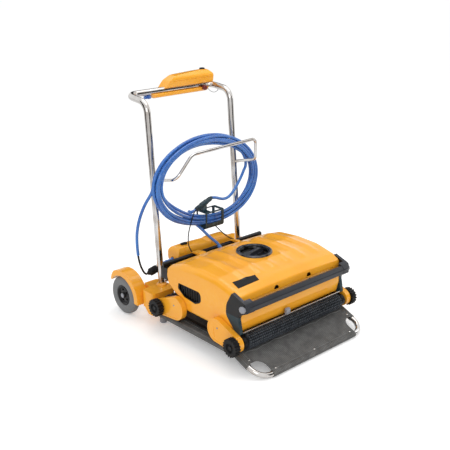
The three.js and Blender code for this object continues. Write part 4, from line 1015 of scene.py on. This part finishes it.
# The whole body as a closed loft, or the room inside it when a wall is given.
def bodyLoft(wall):
    stations, rows = shellStations(), len(shellRing)
    points = [shellPoint(x * (shell["half"] - wall) / shell["half"], p, wall) for x in stations for p in shellRing]
    faces = []
    for i in range(len(stations) - 1):
        for k in range(rows):
            n = (k + 1) % rows
            faces.append((i * rows + k, i * rows + n, (i + 1) * rows + n, (i + 1) * rows + k))
    faces += [list(range(rows)), list(range(len(points) - rows, len(points)))]
    return solid(points, faces)


# Height of the lid's outer face at a place near its front.
def lidHeight(x, y):
    best = 0
    for p, q in zip(shellRing, shellRing[1:] + shellRing[:1]):
        if p[1] > 330 and (p[0] - y) * (q[0] - y) <= 0 and p[0] != q[0]:
            best = max(best, shellPoint(x, p.lerp(q, (y - p[0]) / (q[0] - p[0])))[2])
    return best


cheekCorners = [
    (-256, 362, 6), (-221, 300, 60), (-216, 246, 46), (-252, 208, 60), (-290, 168, 6), (-312, 174, 8),
    (-302, 226, 60), (-292, 262, 32), (-332, 284, 6), (-350, 291, 8), (-354, 318, 6), (-338, 334, 5),
]
handle = {
    "inner": 334, "outer": 351.6, "front": -356, "corner": 31, "join": 300, "back": -316, "bladeTop": 256,
    "cap": (-326, 306), "rearFeet": 2 * midY - 226.4, "cheekMiddle": (-275, 262),
}


# The left cheek of the front handle, or the room for it when it is grown by the gap.
def cheekSolid(grow=0.0):
    h = handle
    outer, inner, front = -h["outer"] - grow, -h["inner"] + grow, h["front"] - grow
    plan = outline([(outer, -200), (outer, front, h["corner"]), (-h["join"], front), (-h["join"], h["back"]),
                    (inner, h["back"]), (inner, -200)], 14)
    middle = Vector(h["cheekMiddle"])
    corners = [(*(middle + (Vector(c[:2]) - middle) * (1 + grow / 60)), c[2]) for c in cheekCorners]
    return common(prism(outline(corners), "x", -h["outer"] - 5, -h["join"] + 10), prism(plan, "z", 130, 390))


# The section of a handle bar, in y and z.
def barSection(top):
    return outline([(-337, top, 5), (-353, top - 15.6, 6), (-349, 292, 8), (-333, 285.4, 6), (-321, 300, 5),
                    (-323, top - 3.6, 5)])


window = {
    "middle": (36, 256), "outer": 348.6, "ribs": range(-22, 120, 18), "ribX": 338, "ribRadius": 5.5,
    "corners": ((125, 259, 8), (121, 288, 8), (-41, 290, 22), (-46, 240, 26), (-2, 219, 14), (80, 228, 20)),
}


def windowOutline(shrink):
    middle = Vector(window["middle"])
    made = []
    for y, z, r in window["corners"]:
        away = Vector((y, z)) - middle
        k = 1 - shrink / (away.length * 0.55)
        made.append((*(middle + away * k), r * k))
    return outline(made, 10)


def makeShell():
    whole = bodyLoft(0)
    cut(whole, bodyLoft(shell["wall"]))
    half, seam = shell["half"] - shell["wall"] - 1, shell["seam"]
    room = joined(cheekSolid(1.0), prism(outline(cheekCorners), "x", -380, -handle["inner"] - 4))
    for piece, _, _ in mirrored(room):
        cut(whole, piece)
    for side in sides:
        cut(whole, prism(windowOutline(0), "x", *span(side, 320, 360)))
    lid = copyOf(whole)
    cut(lid, block(-half, half, -340, 260, 100, seam + 0.5))
    cut(lid, prism(circle(0, outlet["y"], outlet["hole"], 96), "z", 300, 450))
    notch, tab = shell["notch"], shell["tab"]
    tongue = outline([(196, 345.4), (196, 354), (214, 356.5, 10), (262, 349.5, 2.5), (263, 344.6, 2), (222, 345.4)], 6)
    for side, reach in zip(sides, tab["reach"]):   # a notch in the front edge and a tab over the rear bar
        cut(lid, prism(circle(side * notch["x"], seam + 3, notch["r"], 40), "y", -310, -270))
        joined(lid, prism(tongue, "x", side * tab["x"] - reach, side * tab["x"] + reach))
    cut(lid, turned([(0, -20), (15, -20), (15, 60), (0, 60)], inlet["foot"], inlet["line"], 40))
    finishPiece(lid, "lid_shell", "yellow", stands="robot_lid", bevel=0.9, angle=38)
    hull = common(whole, block(0.4 - half, half - 0.4, -340, 260, 100, seam - 0.5))
    for side in sides:
        cut(hull, block(*span(side, 318, 345), -330, 260, 100, 167))
    finishPiece(hull, "hull_shell", "yellow", stands="robot_hull", bevel=0.9, angle=38)


# The front bar with its two cheeks: satin bar, black ends, and blades below.
def makeFrontHandle():
    h = handle
    bar = prism(barSection(332.8), "x", -h["join"] - 6, h["join"] + 6)
    left = cheekSolid()
    right = copyOf(left, acrossX)
    joined(bar, left, right)
    shape = bmesh.new()
    shape.from_mesh(bar.data)
    whole = list(shape.verts) + list(shape.edges) + list(shape.faces)
    bmesh.ops.bisect_plane(shape, geom=whole, plane_co=(0, 0, h["bladeTop"]), plane_no=(0, 0, 1))
    marks = []
    for face in shape.faces:
        middle = face.calc_center_median()
        marks.append(2 if middle.z < h["bladeTop"] else 1 if abs(face.normal.x) > 0.9 and abs(middle.x) > 320 else 0)
    shape.to_mesh(bar.data)
    shape.free()
    finishPiece(bar, "front_handle_bar", "bar", stands="handle_front", bevel=2.2, rounds=4, angle=35)
    bar.data.materials.append(finishes["black"])
    bar.data.materials.append(finishes["blade"])
    bar.data.polygons.foreach_set("material_index", marks)


def makeHandles():
    h = handle
    makeFrontHandle()
    plan = outline([(-h["inner"], h["front"], h["corner"]), (h["inner"], h["front"], h["corner"]), (h["inner"], -300),
                    (-h["inner"], -300)], 14)
    rear = common(prism(barSection(343), "x", -h["inner"], h["inner"]), prism(plan, "z", 200, 400))
    for side in sides:
        x = side * (h["inner"] - 9)
        joined(rear, block(x - 9, x + 9, -346, h["rearFeet"], 262, 322))
        joined(rear, block(side * 110 - 12, side * 110 + 12, -326, h["rearFeet"], 296, 322))
    finishPiece(moved(rear, toRear), "rear_handle_bar", "black", stands="handle_rear", bevel=1.4, rounds=3, angle=35)
    capY, capZ = h["cap"]
    bend, reach = h["front"] + h["corner"], h["corner"] + 0.4
    facing = math.asin((bend - capY) / h["corner"])
    for side in sides:
        spot = (side * (h["outer"] - h["corner"] + reach * math.cos(facing)), bend - reach * math.sin(facing), capZ)
        line = (side * math.cos(facing), -math.sin(facing), 0)
        cap = turned([(0, -5), (17, -5), (17, 5), (15.6, 7.4), (13, 9), (0, 10)], spot, line, 8)
        hand = tag(side)
        finishPiece(cap, "corner_cap_" + hand, "grey", stands="handle_cap_" + hand, bevel=0.8, rounds=3, angle=20)


def makeWindows():
    tray = prism(windowOutline(0.6), "x", -window["outer"], -334)
    cut(tray, prism(windowOutline(5), "x", -351, -339))
    for y in window["ribs"]:   # upright finger ribs
        rib = prism(circle(-window["ribX"], y, window["ribRadius"], 20), "z", 200, 300)
        joined(tray, common(rib, prism(windowOutline(4.4), "x", -347, -336)))
    for piece, hand, _ in mirrored(tray):
        finishPiece(piece, "side_window_" + hand, "gloss", stands="side_grip_" + hand, bevel=0.9, angle=35)


makeShell()
makeHandles()
makeWindows()
print("robot shell made")

# ---- running gear ----
ends = ("front", "rear")
axle = {"y": -308, "z": 133, "bore": 8.4}
axleFoot = (0, axle["y"], axle["z"])
arm = {
    "inner": 352.4, "outer": 380, "front": (-180, 160.5, 58), "rear": (2 * midY - 115, 163, 58),
    "nose": (-298, 134.5, 40.5),
}


# The outline round two circles of an arm; the inset leaves room for a rim.
def armOutline(pivot, inset=0):
    (py, pz, pr), (ny, nz, nr) = pivot, arm["nose"]
    pr, nr = pr - inset, nr - inset
    lean = math.atan2(nz - pz, ny - py)
    wrap = math.acos((pr - nr) / math.hypot(ny - py, nz - pz))
    points = []
    for y, z, r, start, sweep, steps in (
        (py, pz, pr, wrap, 2 * math.pi - 2 * wrap, 40), (ny, nz, nr, -wrap, 2 * wrap, 24),
    ):
        for k in range(steps + 1):
            a = lean + start + sweep * k / steps
            points.append((y + r * math.cos(a), z + r * math.sin(a)))
    return points


def makeArms():
    inner, outer = arm["inner"], arm["outer"]
    for end in ends:
        y, z, _ = arm[end]
        plate = prism(armOutline(arm[end]), "x", -outer, -inner)
        cut(plate, prism(armOutline(arm[end], 8), "x", -outer - 5, 1.6 - outer))   # a shallow panel inside a rim
        joined(plate, prism(circle(y, z, 34, 40), "x", -inner - 5, -350.4))
        cut(plate, prism(circle(axle["y"], axle["z"], axle["bore"], 40), "x", -outer - 5, -inner + 10))
        if end == "front":   # a groove across the panel
            cut(plate, prism([(-171, 126), (-168.6, 126), (-160.6, 176), (-163, 176)], "x", -outer - 5, 2.8 - outer))
        screw = turned([(0, 0), (4.4, 0), (4.4, 1), (3.6, 1.8), (1.6, 1.8), (1.6, 0.8), (0, 0.8)],
                       (1.6 - outer, y - 8, z + 14), (-1, 0, 0), 24)
        for piece, hand, _ in mirrored(plate, (end,)):
            name = f"arm_{end}_{hand}"
            finishPiece(piece, name + "_plate", "yellow", stands=name, bevel=4.5, rounds=4, angle=50)
        for piece, hand, _ in mirrored(screw, (end,)):
            finishPiece(piece, f"arm_{end}_{hand}_screw", "grey")


climb = {"r": 44, "root": 39, "lobes": 18, "inner": 384, "outer": 414}


def makeClimbers():
    top, root = climb["r"], climb["root"]
    points = []
    for i in range(climb["lobes"]):
        for shift, r in ((-0.34, root), (-0.2, top - 1), (-0.13, top), (0.13, top), (0.2, top - 1), (0.34, root)):
            a = (i + shift) * 2 * math.pi / climb["lobes"]
            points.append((axle["y"] + r * math.cos(a), axle["z"] + r * math.sin(a)))
    tread = prism(points, "x", -climb["outer"], -climb["inner"])
    seat = ((-climb["outer"], axle["y"], axle["z"]), (1, 0, 0))
    cut(tread, turned([(0, -5), (24, -5), (22, 6), (20, 8), (0, 8)], *seat, 48))
    hub = turned([(0, 2), (9, 2), (11, 3), (12, 5), (12, 8.4), (0, 8.4)], *seat, 8)
    for piece, hand, end in mirrored(tread, ends):
        name = f"climber_{end}_{hand}"
        finishPiece(piece, name + "_tread", "rubber", "brush_roller_" + end, name, bevel=1.2, angle=35)
    for piece, hand, end in mirrored(hub, ends):
        finishPiece(piece, f"climber_{end}_{hand}_hub", "black", "brush_roller_" + end, bevel=0.6, angle=20)


brush = {
    "r": 40, "core": 26, "fins": 20, "half": 318, "tooth": 11.4, "gap": 3.4, "foot": 3.4, "tip": 3.6,
    "drum": 22, "drumEnd": 340, "shaft": 8, "shaftEnd": 399,
}


# Rows of short rubber teeth along the roller, each one worn a little differently.
def brushTeeth():
    points, faces = [], []
    pick = random.Random(4)
    for fin in range(brush["fins"]):
        a = fin * 2 * math.pi / brush["fins"]
        out, across = Vector((0, math.cos(a), math.sin(a))), Vector((0, -math.sin(a), math.cos(a)))
        for t in range(int(2 * brush["half"] / brush["tooth"])):
            x0 = -brush["half"] + t * brush["tooth"] + 2
            x1 = x0 + brush["tooth"] - 2 - brush["gap"]
            tip = brush["r"] - 0.3 - 2.4 * pick.random()
            base = len(points)
            for r, w in ((brush["core"] - 2, brush["foot"]), (tip, brush["tip"])):
                for x, v in ((x0, -w), (x1, -w), (x1, w), (x0, w)):
                    points.append(Vector((x, *axleFoot[1:])) + out * r + across * v)
            faces += [(base, base + 1, base + 2, base + 3), (base + 7, base + 6, base + 5, base + 4)]
            faces += [(base + i, base + 4 + i, base + 4 + (i + 1) % 4, base + (i + 1) % 4) for i in range(4)]
    return solid(points, faces)


def makeBrushes():
    half, core, drum, shaft = brush["half"], brush["core"], brush["drum"], brush["shaft"]
    profiles = {   # the right half of each profile, the count round it and its finish
        "core": ([(core, half), (0, half)], 48, "rubber"),
        "drums": ([(shaft, half), (drum, half), (drum, brush["drumEnd"]), (0, brush["drumEnd"])], 40, "black"),
        "shaft": ([(shaft, brush["shaftEnd"]), (0, brush["shaftEnd"])], 32, "grey"),
    }
    for end, change in zip(ends, (still, toRear)):
        body = "brush_roller_" + end
        finishPiece(moved(brushTeeth(), change), "brush_nubs_" + end, "bristle", body, "brush_" + end)
        for label, (right, count, finish) in profiles.items():
            part = moved(turned([(r, -x) for r, x in right[::-1]] + right, axleFoot, (1, 0, 0), count), change)
            finishPiece(part, "brush_" + label + "_" + end, finish, body)


makeArms()
makeClimbers()
makeBrushes()
print("running gear made")


# ---- fittings on the robot ----
def makeOutlet():
    seat = ((0, outlet["y"], 0), (0, 0, 1))
    ring, rim, hole = outlet["ring"], outlet["rim"], outlet["hole"] - 0.4
    collar = [(rim, 372), (hole, 372), (hole, 400.6), (ring, 400.6), (ring - 0.3, 404), (ring - 2, 407.4),
              (ring - 5, 409), (rim + 4, 409), (rim + 1.4, 408.2), (rim, 405.6)]
    finishPiece(turned(collar, *seat, 128, closed=True), "outlet_collar", "collar", stands="outlet_ring", angle=35)
    r = rim - 0.4
    dish = [(0, 380), (r, 380), (r, 402), (r - 1, 404), (r - 3.6, 404), (r - 5, 402.6), (r - 9, 387.5), (r - 12, 386),
            (0, 386)]
    side = outline([(-15, 384), (-9, 411, 7), (9, 411, 7), (15, 384)])
    front = outline([(-66, 370), (66, 370), (66, 398, 10), (28, 411, 40), (-28, 411, 40), (-66, 398, 10)])
    grip = crossed(side, (-66, 66), front, (-30, 30))
    moved(grip, Matrix.Translation(seat[0]) @ Matrix.Rotation(math.radians(12), 4, "Z"))
    finishPiece(turned(dish, *seat, 112), "cap_dish", "gloss", "outlet_cap", "outlet_cap", angle=35)
    finishPiece(grip, "cap_grip", "bar", "outlet_cap", bevel=2.5, rounds=4, angle=35)


guard = {"half": 331, "y": -307.5, "z": 179, "radius": 3}
innerFinishes = {"belt_left": "rubber", "belt_right": "rubber", "propeller": "black", "drive_unit": "grey"}


def makeFittings():
    boot = [(0, 0), (11, 0), (11, 12), (13, 12.4), (14, 13.4), (14, 17), (13, 18.4), (11, 19.4)]
    boot += repeated([(10.2, 0), (10.2, 1.9), (9.2, 2.1), (9.2, 3.1)], 20, 3.4, 4)   # strain relief ribs
    boot += [(9, 34), (0, 34)]
    finishPiece(turned(boot, inlet["foot"], inlet["line"], 40), "cable_boot", "blue", stands="cable_inlet", angle=35)
    rod = [(k * guard["half"], guard["y"], guard["z"]) for k in sides]
    curvePiece("guard_rod", rod, guard["radius"], "tube", "brush_guard", rings=5)
    clip = prism(outline([(-303.5, 182, 2), (-314, 182, 5), (-318, 204, 8), (-302, 216, 4)], 6), "x", -60, -34)
    finishPiece(clip, "front_clip", "grey", stands="panel_clip", bevel=1.6, rounds=3)
    for node, finish in innerFinishes.items():
        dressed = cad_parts[node]
        if not dressed.material_slots:
            dressed.data.materials.append(None)
        dressed.material_slots[0].material = finishes[finish]


# The buckle that ties the bundle: a trough below, two side hoops and a thin top, with the plug held above it.
strap = {"x": (-44, 76), "y": (268, 344), "z": (438, 530), "wall": (5, 6)}


def makeStrap():
    (x0, x1), (y0, y1), (z0, z1), (dy, dz) = strap["x"], strap["y"], strap["z"], strap["wall"]
    section = [(y0, z0, 20), (y0, z1, 6), (y1, z1, 6), (y1, z0, 20)]
    inner = [(y0 + dy, z0 + dz, 16), (y0 + dy, z1 - dz, 4), (y1 - dy, z1 - dz, 4), (y1 - dy, z0 + dz, 16)]
    opening = [(x0 + 7, z0 + 30, 5), (x0 + 7, z1 - 7, 4), (x1 - 15, z1 - 7, 8), (x1 - 15, z0 + 30, 8)]
    body = prism(outline(section, 10), "x", x0, x1)
    cut(body, prism(outline(inner, 10), "x", x0 - 8, x1 + 8))
    cut(body, prism(outline(opening, 6), "y", y0 - 8, y1 + 8))
    cut(body, block(-8, x1 - 14, y0 + dy, y1 - dy, z1 - 10, z1 + 5))
    joined(body, block(-36, -14, 297, 315, z1 - 2, z1 + 32))
    finishPiece(body, "bundle_strap", "teal", stands="strap_clip", bevel=1.6, rounds=3, angle=35)


# The bare black plate on the lid's front left.
blank = {"corners": ((-298, -202), (-168, -212), (-178, -250), (-306, -250)), "wide": 14, "deep": 6, "lift": (0.2, 1.6)}


def makePlate():
    a, b, c, d = [Vector(corner) for corner in blank["corners"]]
    wide, deep = blank["wide"], blank["deep"]
    rows = []
    for j in range(deep + 1):
        left, right = a.lerp(d, j / deep), b.lerp(c, j / deep)
        rows.append([left.lerp(right, i / wide) for i in range(wide + 1)])
    layers = [[[(*q, lidHeight(*q) + lift) for q in row] for row in rows] for lift in blank["lift"]]
    finishPiece(slab(*layers), "blank_plate", "gloss", angle=40)


makeOutlet()
makeFittings()
makeStrap()
makePlate()
print("fittings made")


# ---- floor, light and background ----
def rayKinds(tree):
    return tree.nodes.new("ShaderNodeLightPath").outputs


def panel(name, corners, finish):
    data = bpy.data.meshes.new(name)
    data.from_pydata(corners, [], [(0, 1, 2, 3)])
    data.materials.append(finish)
    made = addObject(name, data)
    return made


def makeFloor():
    finish, tree, sockets = newFinish("floorWhite")
    sockets["Base Color"].default_value = (1, 1, 1, 1)
    sockets["Roughness"].default_value = 0.9
    sockets["Specular IOR Level"].default_value = 0.0
    sockets["Emission Color"].default_value = (1, 1, 1, 1)
    feed(tree, sockets["Emission Strength"], spread(tree, rayKinds(tree)["Is Camera Ray"], 0.0, 1.0, 0.0, 0.23))
    floor = panel("floor", [(-30, -30, 0), (30, -30, 0), (30, 30, 0), (-30, 30, 0)], finish)
    floor.location.z = -0.0005


def makeWorld():
    world = bpy.data.worlds.new("studio")
    scene.world = world
    world.use_nodes = True
    tree, back = world.node_tree, world.node_tree.nodes["Background"].inputs
    rays = rayKinds(tree)
    clear = mathNode(tree, "MAXIMUM", rays["Is Glossy Ray"], rays["Is Transmission Ray"])
    seen = mathNode(tree, "MAXIMUM", rays["Is Camera Ray"], clear)
    back["Color"].default_value = (1, 1, 1, 1)
    feed(tree, back["Strength"], spread(tree, seen, 0.0, 1.0, 0.78, 1.0))


lamps = {   # name: place, aim, size, power
    "top_light": ((0.4, 0.2, 3.2), (0, 0, 0.3), 2.2, 26),
    "key_light": ((-2.6, -2.4, 2.4), (0, -0.1, 0.4), 1.4, 22),
    "side_light": ((2.8, -1.6, 1.8), (0, 0, 0.4), 1.2, 6),
}
# Dark flags beside the set, seen only in reflections, draw streaks along the polished tubes.
flags = {   # name: azimuth, distance, half width, top
    "right_flag": (302, 3.4, 1.5, 3.0), "left_flag": (156, 3.4, 1.1, 3.0), "rear_flag": (52, 4.2, 1.0, 3.4),
}


def makeLights():
    for name, (where, aim, size, power) in lamps.items():
        data = bpy.data.lights.new(name, "AREA")
        data.size, data.energy = size, power
        lamp = addObject(name, data)
        lamp.location = where
        lamp.rotation_euler = (Vector(aim) - Vector(where)).to_track_quat("-Z", "Y").to_euler()
    finish, _, sockets = newFinish("flagBlack")
    sockets["Base Color"].default_value = (0.02, 0.02, 0.02, 1)
    for name, (azimuth, distance, half, top) in flags.items():
        a = math.radians(azimuth)
        out, along = Vector((math.cos(a), math.sin(a), 0)) * distance, Vector((-math.sin(a), math.cos(a), 0)) * half
        corners = [out + along * k + Vector((0, 0, z)) for k, z in ((-1, 0), (1, 0), (1, top), (-1, top))]
        flag = panel(name, corners, finish)
        flag.visible_camera = flag.visible_diffuse = flag.visible_shadow = flag.visible_transmission = False


makeFloor()
makeWorld()
makeLights()
scene.view_settings.view_transform = "Standard"
print("studio lit")
